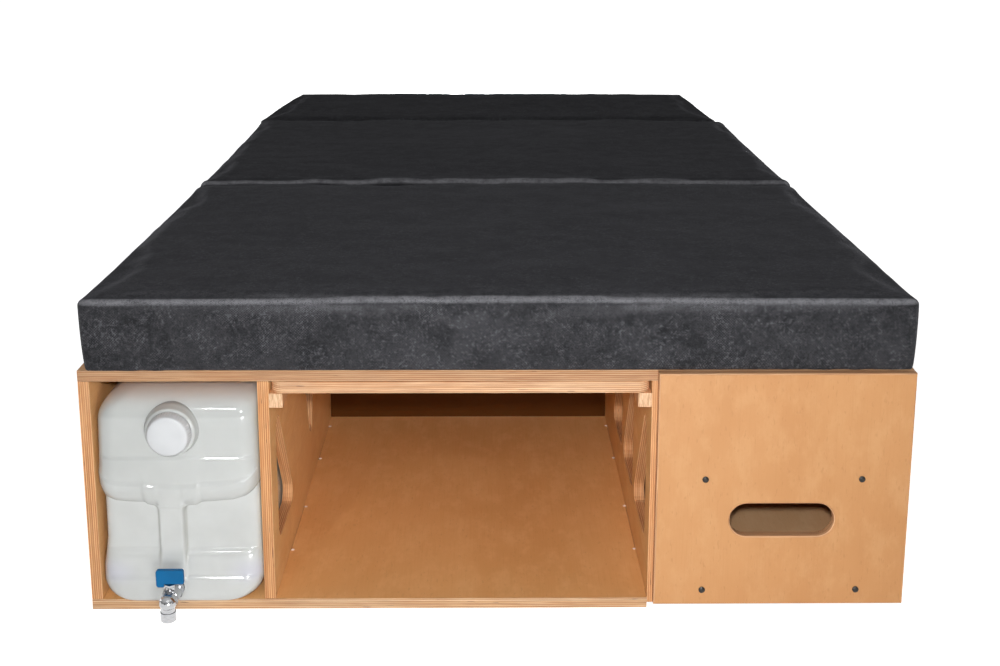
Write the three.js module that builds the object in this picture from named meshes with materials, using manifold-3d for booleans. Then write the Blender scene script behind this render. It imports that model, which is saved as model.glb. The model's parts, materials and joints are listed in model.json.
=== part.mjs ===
// Van camping box: a birch plywood box with a canister bay, an open middle bay holding a table
// board, and a drawer. Its slatted bed pulls out behind it in two stages under a three-part mattress.
// Millimetres, +Z up, the front faces -Y. The origin is the middle of the footprint, on the floor.

import * as THREE from 'three';
import { mergeVertices } from 'three/addons/utils/BufferGeometryUtils.js';
import Module from 'manifold-3d';

const wasm = await Module();
wasm.setup();

// Carcass
const boxWidth = 1110;
const boxDepth = 750;
const boxHeight = 345;
const ply = 15;
const seam = 0.3;
const canisterBay = 222;
const drawerBay = 318;
const backRecess = 60;
const frontNotch = 25;
const toeHeight = 7;
const overrun = 4;

// Tabs that lock the dividers into the top and bottom panels
const tabStartShares = [0.215, 0.71];
const tabLengthShare = 0.216;
const tabRelief = 2.5;

// Cut-outs that lighten the dividers
const cutoutStartShares = [0.0711, 0.3081, 0.5452];
const cutoutBaseShare = 0.222;
const cutoutBottom = 80;
const cutoutHeadroom = 50;
const cutoutRadius = 18;
const keelTipShare = 0.593;
const keelFrontShare = 0.462;
const keelBackShare = 0.684;
const keelHeadroom = 88;
const keelBottom = 70;

// Pull-out bed
const frontStrip = 80;
const slotCounts = [1, 3, 2];
const slotFinger = 50.9;
const slatGap = 2.7;
const slatEndGap = 4;
const slotRadius = 6;
const slatRadius = 1;
const slatBearing = 31;
const legGap = 2;
const legSideGap = 4;
const legFoot = 100;
const legBeam = 85;
const legSplay = 30;
const legRadius = 45;

// Mattress
const cushionThickness = 100;
const cushionCrown = 6;
const cushionRadius = 11;
const cushionPull = 3;
const cushionBulge = 4;
const cushionTuck = 5;
const cushionOverhang = 6;
const cushionGap = 1;

// Table board and its runners
const tableThickness = 16;
const tableRearGap = 25;
const tableRadius = 18;
const tableSideGap = 2;
const tableTopGap = 1;
const runnerWidth = 18;
const runnerHeight = 20;

// Drawer
const drawerFrontFloor = 13;
const drawerFrontLap = 8;
const easedEdge = 1.5;
const drawerWall = 12;
const drawerBottomSheet = 6;
const drawerFloor = 20;
const drawerHeadroom = 60;
const drawerRearGap = 35;
const grooveRise = 8;
const grooveDepth = 6;
const gripWidth = 141;
const gripHeight = 47;
const gripCentre = 137;
const gripFlat = 1;
const windowMargin = 24;
const screwSpread = 105;
const screwLow = 35;
const screwHigh = 196;
const screwHead = 8.8;
const screwHeadHeight = 2.6;
const screwShank = 4;
const screwPlay = 0.3;
const screwFacets = 12;

// Drawer slides, three nested channels on each side
const slideThickness = 12.7;
const slideRearGap = 30;
const slideHeight = 45;
const slideSheet = 1.4;
const slidePlay = 0.5;
const slideStandoff = 10;

// Canister
const canisterLeftGap = 6;
const canisterRightGap = 2.5;
const canisterHeadroom = 13.7;
const canisterDepth = 250;
const canisterProud = 10;
const canisterWall = 2.6;
const canisterPlanShare = 0.131;
const canisterFootShare = 0.178;
const canisterShoulderShare = 0.2155;
const canisterHeadShare = 0.094;
const canisterEdge = 20;
const reliefDepth = 15;
const ribOffsetShare = -0.0515;
const ribWidthShare = 0.145;
const ribBlendShare = 0.0187;
const ribFlareShare = 0.042;
const creaseRise = 16;
const neckOffset = -5;
const neckDrop = 51;
const neckRadius = 24;
const neckBore = 20.5;
const neckLength = 22;
const collarRadius = 36;
const collarTopRadius = 31;
const collarLength = 9;

// Screw cap
const capRadius = 30;
const capFrontRadius = 27.5;
const capWall = 2.2;
const capRidge = 0.9;
const capRidges = 26;
const capPlay = 0.5;

// Tap
const tapRise = 23;
const tapBossRadius = 17;
const tapBossLength = 11;
const tapHole = 10;
const gasketThickness = 2;
const flangeRadius = 13.5;
const flangeThickness = 3;
const nippleRadius = 9.5;
const nippleSpare = 3;
const nutAcross = 24;
const nutThickness = 6;
const hexAcross = 24;
const hexLength = 7;
const ballReach = 23;
const ballRadius = 8;
const ballPlay = 0.4;
const ballWall = 2;
const barrelRadius = 12;
const bore = 9;
const nozzleReach = 42;
const elbowRadius = 11.5;
const elbowDrop = 12;
const nozzleRadius = 10.5;
const nozzleStep = 1;
const nozzleWall = 2;
const nozzleLength = 13;
const stemRadius = 2;
const stemPlay = 0.3;
const glandSeat = 14;
const glandRadius = 7;
const glandHeight = 3;
const glandAcross = 13;
const leverWidth = 37;
const leverHeight = 20;
const leverThickness = 7;
const leverLobe = 4.5;
const leverRadius = 3.5;
const leverChamfer = 0.8;
const leverGap = 0.6;

// Facets
const arcSteps = 3;
const roundSteps = 24;
const fineSteps = 32;
const hexSides = 6;

// Lines that the pieces share
const half = 1 / 2;
const frontY = -boxDepth * half;
const backPanelRear = boxDepth * half - backRecess;
const backPanelFront = backPanelRear - ply;
const leftInner = -boxWidth * half + ply;
const rightInner = boxWidth * half - ply;
const dividerLeftX = leftInner + canisterBay;
const tunnelLeft = dividerLeftX + ply;
const tunnelWidth = boxWidth - ply - ply - ply - ply - canisterBay - drawerBay;
const tunnelRight = tunnelLeft + tunnelWidth;
const drawerBayLeft = tunnelRight + ply;
const standBottom = ply + seam;
const standTop = boxHeight - ply - seam;
const innerDepth = backPanelFront - frontY;
const tabLength = innerDepth * tabLengthShare;
const slatStart = frontY + frontStrip + slatEndGap;
const stageTravel = backPanelRear - slatBearing - slatStart;
const drawerHeight = boxHeight - ply - drawerFloor - drawerHeadroom;
const drawerDepth = innerDepth - drawerRearGap;
const slideLength = drawerDepth - slideStandoff - slideRearGap;
const canisterHeight = boxHeight - ply - ply - seam - canisterHeadroom;
const neckRise = canisterHeight - neckDrop;
const canisterWidth = canisterBay - canisterLeftGap - canisterRightGap;
const canisterPlanRadius = canisterWidth * canisterPlanShare;
const canisterFootRadius = canisterWidth * canisterFootShare;
const canisterShoulderRadius = canisterWidth * canisterShoulderShare;
const canisterHeadRadius = canisterWidth * canisterHeadShare;
const ribOffset = canisterWidth * ribOffsetShare;
const ribWidth = canisterWidth * ribWidthShare;
const ribBlend = canisterWidth * ribBlendShare;
const slotWidth = (tunnelWidth + ply) / slotCounts[1] - slotFinger;
const slatWidth = (slotWidth - slatGap - slatGap - slatGap) * half;
const legStand = standTop;
const bedLength = boxDepth + stageTravel + stageTravel;

// Finishes
const finish = (color, roughness, metalness = 0) =>
  new THREE.MeshStandardMaterial({ color, roughness, metalness });
const birch = finish(0xd9a270, 0.5);
const velour = finish(0x404043, 0.95);
const polyethylene = finish(0xd2d6d2, 0.35);
const whiteCap = finish(0xe8eaec, 0.4);
const chrome = finish(0xd8d8d8, 0.12, 1);
const zinc = finish(0xa9adb0, 0.35, 1);
const blackSteel = finish(0x151515, 0.45, 0.6);
const blueNylon = finish(0x096da2, 0.4);
const rubber = finish(0x1c1c1c, 0.8);

const campingBox = new THREE.Group();

function add(name, geometry, material, x = 0, y = 0, z = 0, parent = campingBox) {
  const mesh = new THREE.Mesh(geometry, material.clone());
  mesh.name = name;
  mesh.position.set(x, y, z);
  parent.add(mesh);
  return mesh;
}

// Axes of a drawing: flat boards are drawn as seen from above, upright ones as depth and height
// with their thickness along X, and facing ones as width and height, growing towards the front.
const axisX = new THREE.Vector3(1, 0, 0);
const axisY = new THREE.Vector3(0, 1, 0);
const axisZ = new THREE.Vector3(0, 0, 1);
const uprightPlane = new THREE.Matrix4().makeBasis(axisY, axisZ, axisX);
const facingPlane = new THREE.Matrix4().makeBasis(axisX, axisZ, axisY.clone().negate());

function slab(shape, thickness, plane = null, bevel = 0) {
  const geometry = new THREE.ExtrudeGeometry(shape, {
    depth: thickness - bevel - bevel,
    curveSegments: arcSteps,
    bevelEnabled: bevel > 0,
    bevelThickness: bevel,
    bevelSize: bevel,
    bevelOffset: -bevel,
    bevelSegments: 1,
  });
  geometry.translate(0, 0, bevel);
  if (plane) geometry.applyMatrix4(plane);
  return geometry;
}

// A closed outline through corners of [x, y, radius], each rounded by an arc of its own radius.
function outline(corners, path = new THREE.Shape()) {
  corners.forEach(([x, y, radius = 0], i) => {
    const corner = new THREE.Vector2(x, y);
    const before = new THREE.Vector2(...corners.at(i - 1).slice(0, 2)).sub(corner).normalize();
    const next = corners[(i + 1) % corners.length];
    const after = new THREE.Vector2(...next.slice(0, 2)).sub(corner).normalize();
    if (radius === 0) {
      if (i === 0) path.moveTo(x, y);
      else path.lineTo(x, y);
      return;
    }
    const halfAngle = Math.acos(before.dot(after)) / 2;
    const reach = radius / Math.tan(halfAngle);
    const middle = before.clone().add(after).normalize();
    const centre = corner.clone().addScaledVector(middle, radius / Math.sin(halfAngle));
    const from = corner.clone().addScaledVector(before, reach).sub(centre).angle();
    const to = corner.clone().addScaledVector(after, reach).sub(centre).angle();
    path.absarc(centre.x, centre.y, radius, from, to, before.cross(after) > 0);
  });
  path.closePath();
  return path;
}

function rectangle(x0, y0, x1, y1, radius = 0, path = new THREE.Shape()) {
  return outline([[x0, y0, radius], [x1, y0, radius], [x1, y1, radius], [x0, y1, radius]], path);
}

// A slot for a tab, its corners overcut by the router so that the square tab seats.
function tabSlot(x0, y0, x1, y1) {
  const r = tabRelief;
  const path = new THREE.Path();
  path.absarc(x1, y0, r, Math.PI, Math.PI * 5 / 2, false);
  path.absarc(x1, y1, r, -Math.PI / 2, Math.PI, false);
  path.absarc(x0, y1, r, 0, Math.PI * 3 / 2, false);
  path.absarc(x0, y0, r, Math.PI / 2, Math.PI * 2, false);
  path.closePath();
  return path;
}

const tabStarts = tabStartShares.map((share) => innerDepth * share);

function tabSlots(shape) {
  for (const x of [dividerLeftX, tunnelRight]) {
    for (const start of tabStarts) {
      const y = frontY + start;
      shape.holes.push(tabSlot(x - seam, y - seam, x + ply + seam, y + tabLength + seam));
    }
  }
}

// Carcass: the top panel is a comb whose slots, open at the rear, guide the slats.
function slotCentres() {
  const edges = [-boxWidth * half, dividerLeftX + ply * half, tunnelRight + ply * half, boxWidth * half];
  return slotCounts.flatMap((count, bay) => {
    const pitch = (edges[bay + 1] - edges[bay]) / count;
    return Array.from({ length: count }, (_, i) => edges[bay] + (i + half) * pitch);
  });
}

function topPanel() {
  const rear = boxDepth * half;
  const stripY = frontY + frontStrip;
  const corners = [[-boxWidth * half, frontY], [boxWidth * half, frontY], [boxWidth * half, rear]];
  for (const centre of slotCentres().reverse()) {
    const x0 = centre - slotWidth * half;
    const x1 = centre + slotWidth * half;
    corners.push([x1, rear], [x1, stripY, slotRadius], [x0, stripY, slotRadius], [x0, rear]);
  }
  corners.push([-boxWidth * half, rear]);
  const shape = outline(corners);
  tabSlots(shape);
  add('top_panel', slab(shape, ply), birch, 0, 0, boxHeight - ply);
}

function bottomPanel() {
  const shape = outline([
    [-boxWidth * half, frontY],
    [tunnelRight, frontY],
    [tunnelRight, frontY + frontNotch],
    [boxWidth * half, frontY + frontNotch],
    [boxWidth * half, backPanelRear],
    [-boxWidth * half, backPanelRear],
  ]);
  tabSlots(shape);
  add('bottom_panel', slab(shape, ply), birch);
}

// An upright board, with its toe in the notch of the bottom panel and its tabs, if it has them.
function uprightOutline(depth, { toe = false, tabs = false }) {
  const corners = [];
  if (toe) {
    const toeEnd = frontNotch - seam;
    const toeBottom = standBottom - toeHeight;
    corners.push([0, toeBottom], [toeEnd, toeBottom], [toeEnd, standBottom]);
  } else {
    corners.push([0, standBottom]);
  }
  const withTabs = tabs ? tabStarts : [];
  for (const start of withTabs) {
    const end = start + tabLength;
    corners.push([start, standBottom], [start, seam], [end, seam], [end, standBottom]);
  }
  corners.push([depth, standBottom], [depth, standTop]);
  for (const start of [...withTabs].reverse()) {
    const end = start + tabLength;
    const tabTop = boxHeight - seam;
    corners.push([end, standTop], [end, tabTop], [start, tabTop], [start, standTop]);
  }
  corners.push([0, standTop]);
  return outline(corners);
}

function ramp(startShare) {
  const start = innerDepth * startShare;
  return outline([
    [start, cutoutBottom, cutoutRadius],
    [start + innerDepth * cutoutBaseShare, cutoutBottom, cutoutRadius],
    [start, boxHeight - cutoutHeadroom, cutoutRadius],
  ], new THREE.Path());
}

function keel() {
  return outline([
    [innerDepth * keelTipShare, keelBottom, cutoutRadius],
    [innerDepth * keelBackShare, boxHeight - keelHeadroom, cutoutRadius],
    [innerDepth * keelFrontShare, boxHeight - keelHeadroom, cutoutRadius],
  ], new THREE.Path());
}

function uprights() {
  const dividerDepth = innerDepth - seam;
  const left = uprightOutline(dividerDepth, { tabs: true });
  left.holes.push(ramp(cutoutStartShares[0]), keel());
  const right = uprightOutline(dividerDepth, { tabs: true, toe: true });
  right.holes.push(...cutoutStartShares.map(ramp));
  const sideLeft = uprightOutline(boxDepth, {});
  const sideRight = uprightOutline(boxDepth, { toe: true });
  add('divider_left', slab(left, ply, uprightPlane), birch, dividerLeftX, frontY);
  add('divider_right', slab(right, ply, uprightPlane), birch, tunnelRight, frontY);
  add('side_panel_left', slab(sideLeft, ply, uprightPlane), birch, -boxWidth * half, frontY);
  add('side_panel_right', slab(sideRight, ply, uprightPlane), birch, rightInner, frontY);
  const back = rectangle(leftInner + seam, standBottom, rightInner - seam, standTop);
  add('back_panel', slab(back, ply, facingPlane), birch, 0, backPanelRear);
}

// Table board, stowed under the top panel on two runners
function table() {
  const top = boxHeight - ply - tableTopGap;
  const bottom = top - tableThickness;
  const x0 = tunnelLeft + tableSideGap;
  const x1 = tunnelRight - tableSideGap;
  const board = rectangle(x0, frontY, x1, backPanelFront - tableRearGap, tableRadius);
  add('table_board', slab(board, tableThickness), birch, 0, 0, bottom);
  const runner = rectangle(0, bottom - seam - runnerHeight, innerDepth - seam, bottom - seam);
  const geometry = slab(runner, runnerWidth, uprightPlane);
  add('table_runner_left', geometry, birch, tunnelLeft + seam, frontY);
  add('table_runner_right', geometry, birch, tunnelRight - seam - runnerWidth, frontY);
}

// Pull-out bed: one slat of each stage lies in every slot, drawn out by its own leg panel.
function legPanel(name, rearY) {
  const legHalf = rightInner - legSideGap;
  const archHalf = legHalf - legFoot;
  const archTop = legStand - legBeam;
  const shape = outline([
    [-legHalf, 0],
    [-archHalf, 0],
    [-archHalf + legSplay, archTop, legRadius],
    [archHalf - legSplay, archTop, legRadius],
    [archHalf, 0],
    [legHalf, 0],
    [legHalf, legStand],
    [-legHalf, legStand],
  ]);
  add(name, slab(shape, ply, facingPlane), birch, 0, rearY);
}

function bed() {
  const secondHome = boxDepth * half;
  const firstHome = secondHome - ply - legGap;
  const stages = [
    { number: 1, home: firstHome, out: stageTravel, side: -1 },
    { number: 2, home: secondHome, out: stageTravel + stageTravel, side: 1 },
  ];
  for (const { number, home, out, side } of stages) {
    legPanel(`leg_panel_${number}`, home + out);
    const slat = rectangle(0, slatStart, slatWidth, home, slatRadius);
    const geometry = slab(slat, ply - seam);
    slotCentres().forEach((centre, i) => {
      const x = centre + side * (slatWidth + slatGap) * half - slatWidth * half;
      add(`stage_${number}_slat_${i + 1}`, geometry, birch, x, out, boxHeight - ply);
    });
  }
}

const cornerSteps = 2;
const widthSteps = 8;
const depthSteps = 6;
const heightSteps = 2;
const cornerShare = (i) => Math.tan(Math.PI / 4 * i / cornerSteps);

// Places along one side of a cushion: close together round its edges, even between them.
function gradedPlaces(length, steps) {
  const inner = length * half - cushionRadius;
  const places = [];
  for (let i = cornerSteps; i > 0; i -= 1) places.push(-inner - cushionRadius * cornerShare(i));
  for (let i = 0; i <= steps; i += 1) places.push(-inner + (inner + inner) * i / steps);
  for (let i = 1; i <= cornerSteps; i += 1) places.push(inner + cushionRadius * cornerShare(i));
  return places;
}

// A foam cushion: flat below, crowned above, its long sides full and tucked in at the foot, and
// all four sides drawn in between the corners.
function cushionGeometry(length, lengthSteps) {
  const size = [boxWidth, length, cushionThickness];
  const steps = [widthSteps, lengthSteps, heightSteps];
  const places = size.map((across, axis) => gradedPlaces(across, steps[axis]));
  const counts = places.map((list) => list.length - 1);
  const geometry = new THREE.BoxGeometry(1, 1, 1, ...counts);
  const position = geometry.attributes.position;
  for (let i = 0; i < position.count; i += 1) {
    const raw = [position.getX(i), position.getY(i), position.getZ(i)];
    const lattice = raw.map((value, axis) => Math.round((value + half) * counts[axis]));
    const point = new THREE.Vector3(...lattice.map((step, axis) => places[axis][step]));
    const limit = new THREE.Vector3(...size).multiplyScalar(half).subScalar(cushionRadius);
    const core = point.clone().clamp(limit.clone().negate(), limit);
    point.sub(core).setLength(cushionRadius).add(core);
    const u = point.x / (size[0] * half);
    const v = point.y / (size[1] * half);
    const w = point.z / (size[2] * half);
    const fullness = cushionBulge * (1 - w * w) - cushionTuck * (1 - w) * half;
    const x = point.x - u * cushionPull * (1 - v * v) + u * fullness;
    const y = point.y - v * cushionPull * (1 - u * u) - v * cushionTuck * (1 - w) * half;
    const crown = cushionCrown * (1 - u ** 4) * (1 - v ** 4) * (1 + w) * half;
    position.setXYZ(i, x, y, point.z + crown);
  }
  geometry.deleteAttribute('normal');
  geometry.deleteAttribute('uv');
  const merged = mergeVertices(geometry);
  merged.computeVertexNormals();
  return merged;
}

function mattress() {
  const front = boxDepth + cushionOverhang;
  const middle = boxDepth;
  const rear = bedLength - front - middle;
  const z = boxHeight + seam + cushionThickness * half;
  let start = frontY;
  const cushions = [
    ['cushion_front', front, depthSteps],
    ['cushion_middle', middle, depthSteps],
    ['cushion_rear', rear, depthSteps - 2],
  ];
  for (const [name, length, steps] of cushions) {
    add(name, cushionGeometry(length - cushionGap, steps), velour, 0, start + length * half, z);
    start += length;
  }
}

// Drawer: a front with a grip slot, screwed to a box that hangs on the slides
function drawer() {
  const boxLeft = drawerBayLeft + slideThickness + slidePlay;
  const boxRight = rightInner - slideThickness - slidePlay;
  const frontLeft = drawerBayLeft - drawerFrontLap;
  const frontRight = boxWidth * half;
  const middle = (frontLeft + frontRight) * half;
  const columns = [middle - screwSpread, middle + screwSpread];
  const screws = columns.flatMap((x) => [screwHigh, screwLow].map((z) => [x, z]));
  // A drilled hole's facets touch the circle from outside, so the shank clears them.
  const drillRadius = (screwShank * half + screwPlay) / Math.cos(Math.PI / (arcSteps * 2));
  const drillHoles = (shape) => {
    for (const [x, z] of screws) {
      shape.holes.push(new THREE.Path().absarc(x, z, drillRadius, 0, Math.PI * 2));
    }
  };
  const slotHole = (margin) => {
    const x = gripWidth * half + margin;
    const z = gripHeight * half + margin;
    const radius = z - gripFlat * half;
    return rectangle(middle - x, gripCentre - z, middle + x, gripCentre + z, radius, new THREE.Path());
  };

  const front = rectangle(frontLeft, drawerFrontFloor, frontRight, boxHeight - seam);
  front.holes.push(slotHole(0));
  drillHoles(front);
  add('drawer_front', slab(front, ply, facingPlane, easedEdge), birch, 0, frontY - seam);

  const floorZ = drawerFloor + grooveRise;
  const grooveTop = floorZ + drawerBottomSheet + seam;
  const top = drawerFloor + drawerHeight;
  const wallLeft = boxLeft + drawerWall + seam;
  const wallRight = boxRight - drawerWall - seam;
  const innerFront = rectangle(wallLeft, drawerFloor, wallRight, top);
  innerFront.holes.push(slotHole(windowMargin));
  drillHoles(innerFront);
  add('drawer_inner_front', slab(innerFront, drawerWall, facingPlane), birch, 0, frontY + drawerWall);
  const back = rectangle(wallLeft, drawerFloor, wallRight, top);
  add('drawer_back', slab(back, drawerWall, facingPlane), birch, 0, frontY + drawerDepth);

  const sheetEdge = drawerWall - grooveDepth + seam;
  const sheetFront = frontY + drawerWall + seam;
  const sheetRear = frontY + drawerDepth - drawerWall - seam;
  const bottom = rectangle(boxLeft + sheetEdge, sheetFront, boxRight - sheetEdge, sheetRear);
  add('drawer_bottom', slab(bottom, drawerBottomSheet), birch, 0, 0, floorZ);
  for (const [name, x, side] of [['left', boxLeft, 1], ['right', boxRight, -1]]) {
    const groove = side * (drawerWall - grooveDepth);
    const profile = outline([
      [0, drawerFloor],
      [side * drawerWall, drawerFloor],
      [side * drawerWall, floorZ - seam],
      [groove, floorZ - seam],
      [groove, grooveTop],
      [side * drawerWall, grooveTop],
      [side * drawerWall, top],
      [0, top],
    ]);
    add(`drawer_side_${name}`, slab(profile, drawerDepth, facingPlane), birch, x, frontY + drawerDepth);
  }

  const headRadius = screwHead * half;
  const shankLength = ply + drawerWall - seam;
  const screwProfile = [
    [0, -shankLength],
    [screwShank * half, -shankLength],
    [screwShank * half, 0],
    [headRadius, 0],
    [headRadius, screwHeadHeight * half],
    [headRadius * half, screwHeadHeight],
    [0, screwHeadHeight],
  ].map(([r, y]) => new THREE.Vector2(r, y));
  const screw = new THREE.LatheGeometry(screwProfile, screwFacets);
  screws.forEach(([x, z], i) => {
    const mesh = add(`drawer_front_screw_${i + 1}`, screw, blackSteel, x, frontY - ply - seam - seam, z);
    mesh.rotation.x = Math.PI;
  });
}

// A channel of bent sheet, its web from x0 and its two flanges reaching to x1.
function channel(x0, x1, halfHeight) {
  const t = slideSheet * Math.sign(x1 - x0);
  const inner = halfHeight - slideSheet;
  return outline([
    [x0, -halfHeight], [x1, -halfHeight], [x1, -inner], [x0 + t, -inner],
    [x0 + t, inner], [x1, inner], [x1, halfHeight], [x0, halfHeight],
  ]);
}

// Full-extension slides: the outer channel on the bay, the middle one, and the inner one on the drawer
function slides() {
  const z = drawerFloor + drawerHeight * half;
  const rear = frontY + slideStandoff + slideLength;
  const outerHalf = slideHeight * half;
  const middleHalf = outerHalf - slideSheet - slidePlay;
  const innerHalf = middleHalf - slideSheet - slidePlay;
  const middleWeb = slideSheet + slidePlay;
  const innerWeb = middleWeb + slideSheet + slidePlay;
  const innerEnd = slideThickness - slideSheet - slidePlay;
  for (const [name, wall, side] of [['left', drawerBayLeft, 1], ['right', rightInner, -1]]) {
    const profiles = {
      outer: channel(side * seam, side * innerEnd, outerHalf),
      middle: channel(side * (middleWeb + seam), side * innerEnd, middleHalf),
      inner: channel(side * slideThickness, side * (innerWeb + seam), innerHalf),
    };
    for (const [kind, profile] of Object.entries(profiles)) {
      add(`slide_${kind}_${name}`, slab(profile, slideLength, facingPlane), zinc, wall, rear, z);
    }
  }
}

// Solids for cuts and joins
function solidOf(geometry) {
  const bare = geometry.clone();
  bare.deleteAttribute('normal');
  bare.deleteAttribute('uv');
  const merged = mergeVertices(bare);
  const vertProperties = new Float32Array(merged.attributes.position.array);
  const triVerts = new Uint32Array(merged.index.array);
  return new wasm.Manifold(new wasm.Mesh({ numProp: 3, vertProperties, triVerts }));
}

function geometryOf(solid) {
  const { vertProperties, triVerts } = solid.getMesh();
  const geometry = new THREE.BufferGeometry();
  geometry.setAttribute('position', new THREE.BufferAttribute(vertProperties, 3));
  geometry.setIndex(new THREE.BufferAttribute(triVerts, 1));
  geometry.computeVertexNormals();
  return geometry;
}

// A round bar or frustum between two places on an axis, which is 'y', towards the front, or 'z'.
function roundBar(axis, start, end, radius, endRadius = radius, segments = roundSteps) {
  const geometry = new THREE.CylinderGeometry(endRadius, radius, end - start, segments);
  geometry.translate(0, (start + end) * half, 0);
  if (axis === 'y') geometry.rotateX(Math.PI);
  if (axis === 'z') geometry.rotateX(Math.PI / 2);
  return geometry;
}

// Canister levels: share of the height, share of the relief depth by which the front lies back
// there, the same on the rib, and how far the level follows the crease and the rib's flare.
const canisterLevelShares = [
  [0, 1.2, 1.2, 0],
  [0.014, 0.62, 0.62, 0],
  [0.04, 0.36, 0.36, 0],
  [0.085, 0.24, 0.24, 0],
  [0.15, 0.26, 0.22, 0],
  [0.19, 0.48, 0.22, 0],
  [0.23, 0.82, 0.22, 0],
  [0.275, 0.92, 0.22, 0],
  [0.36, 0.95, 0.22, 0.1],
  [0.44, 0.96, 0.22, 0.55],
  [0.485, 1, 0.22, 1],
  [0.493, 0.68, 0.2, 1],
  [0.512, 0.4, 0.17, 0.9],
  [0.54, 0.18, 0.12, 0.7],
  [0.6, 0.05, 0.05, 0.3],
  [0.7, 0, 0, 0],
  [0.82, 0.04, 0.04, 0],
  [0.9, 0.16, 0.16, 0],
  [0.94, 0.36, 0.36, 0],
  [0.97, 0.72, 0.72, 0],
  [0.99, 1.3, 1.3, 0],
  [1, 2.1, 2.1, 0],
];

const cornerFacets = 4;
const roundIn = (radius, rise) => {
  const below = radius - Math.min(rise, radius);
  return radius - Math.sqrt(Math.max(0, radius * radius - below * below));
};

// One level of the canister: a rounded rectangle whose front carries the moulded relief.
function canisterRing([heightShare, reliefShare, ribShare, followShare], width, inset) {
  const height = canisterHeight * heightShare;
  const z = inset + height * (canisterHeight - inset - inset) / canisterHeight;
  const fromTop = canisterHeight - height;
  const foot = roundIn(canisterFootRadius, height);
  const left = -width * half + Math.max(foot, roundIn(canisterShoulderRadius, fromTop)) + inset;
  const right = width * half - Math.max(foot, roundIn(canisterHeadRadius, fromTop)) - inset;
  const rearSetback = Math.max(roundIn(canisterEdge, height), roundIn(canisterEdge, fromTop)) + inset;
  const corner = canisterPlanRadius - inset;
  const rear = canisterDepth - rearSetback;
  const rib = ribWidth * half;
  const flare = canisterWidth * ribFlareShare * followShare ** 4;
  const frontX = [
    left + corner,
    (left + corner + ribOffset - rib - ribBlend - flare) * half,
    ribOffset - rib - ribBlend - flare,
    ribOffset - rib,
    ribOffset + rib,
    ribOffset + rib + ribBlend + flare,
    ribOffset + rib + ribBlend + flare + (right - corner - ribOffset - rib - ribBlend - flare) / 3,
    ribOffset + rib + ribBlend + flare + (right - corner - ribOffset - rib - ribBlend - flare) * 2 / 3,
    right - corner,
  ];
  const onRib = (x) => Math.abs(x - ribOffset) < rib + ribBlend * half;
  const setback = (x) => reliefDepth * (onRib(x) ? ribShare : reliefShare);
  const rise = (x) => creaseRise * followShare * Math.min(1, Math.abs(x) / (width * half)) ** 6;
  const ring = [];
  const put = (x, y) => ring.push([x, y, z + rise(x)]);
  const cornerArc = (centreX, centreY, fromAngle, frontWeight) => {
    for (let i = 1; i < cornerFacets; i += 1) {
      const angle = fromAngle + Math.PI / 2 * i / cornerFacets;
      const weight = frontWeight * Math.max(0, -Math.sin(angle));
      const y = centreY + corner * Math.sin(angle);
      put(centreX + corner * Math.cos(angle), y + weight * setback(centreX));
    }
  };
  for (const x of frontX) put(x, inset + setback(x));
  cornerArc(right - corner, inset + corner, -Math.PI / 2, 1);
  put(right, inset + corner + canisterEdge);
  put(right, rear - corner);
  cornerArc(right - corner, rear - corner, 0, 0);
  put(right - corner, rear);
  put(left + corner, rear);
  cornerArc(left + corner, rear - corner, Math.PI / 2, 0);
  put(left, rear - corner);
  put(left, inset + corner + canisterEdge);
  cornerArc(left + corner, inset + corner, Math.PI, 1);
  return ring;
}

function canisterBody(width, inset) {
  const rings = canisterLevelShares.map((level) => canisterRing(level, width, inset));
  const count = rings[0].length;
  const index = [];
  for (let k = 0; k < rings.length - 1; k += 1) {
    for (let i = 0; i < count; i += 1) {
      const a = k * count + i;
      const b = k * count + (i + 1) % count;
      index.push(a, b, b + count, a, b + count, a + count);
    }
  }
  const lid = (ring, first, flip) => {
    const contour = ring.map(([x, y]) => new THREE.Vector2(x, y));
    for (const [a, b, c] of THREE.ShapeUtils.triangulateShape(contour, [])) {
      if (flip) index.push(first + c, first + b, first + a);
      else index.push(first + a, first + b, first + c);
    }
  };
  lid(rings[0], 0, true);
  lid(rings.at(-1), (rings.length - 1) * count, false);
  const geometry = new THREE.BufferGeometry();
  geometry.setAttribute('position', new THREE.Float32BufferAttribute(rings.flat(2), 3));
  geometry.setIndex(index);
  return geometry;
}

const canisterX = leftInner + canisterLeftGap + canisterWidth * half;
const canisterFront = frontY - canisterProud;
const canisterFloor = ply + seam;

function canister() {
  let shell = solidOf(canisterBody(canisterWidth, 0));
  const seat = roundBar('y', -canisterEdge, 0, collarRadius, collarRadius, fineSteps);
  const collar = roundBar('y', 0, collarLength, collarRadius, collarTopRadius, fineSteps);
  const neck = roundBar('y', -canisterEdge, neckLength, neckRadius, neckRadius, fineSteps);
  for (const part of [seat, collar, neck]) {
    shell = shell.add(solidOf(part.translate(neckOffset, 0, neckRise)));
  }
  shell = shell.subtract(solidOf(canisterBody(canisterWidth, canisterWall)));
  const boss = roundBar('y', -tapBossLength, 0, tapBossRadius);
  shell = shell.add(solidOf(boss.translate(ribOffset, 0, tapRise)));
  const mouthRear = -canisterEdge - canisterEdge;
  const mouthLength = neckLength + overrun;
  const mouth = roundBar('y', mouthRear, mouthLength, neckBore, neckBore, fineSteps);
  shell = shell.subtract(solidOf(mouth.translate(neckOffset, 0, neckRise)));
  const drain = roundBar('y', -canisterEdge, overrun, tapHole);
  shell = shell.subtract(solidOf(drain.translate(ribOffset, 0, tapRise)));
  add('canister', geometryOf(shell), polyethylene, canisterX, canisterFront, canisterFloor);
}

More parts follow.
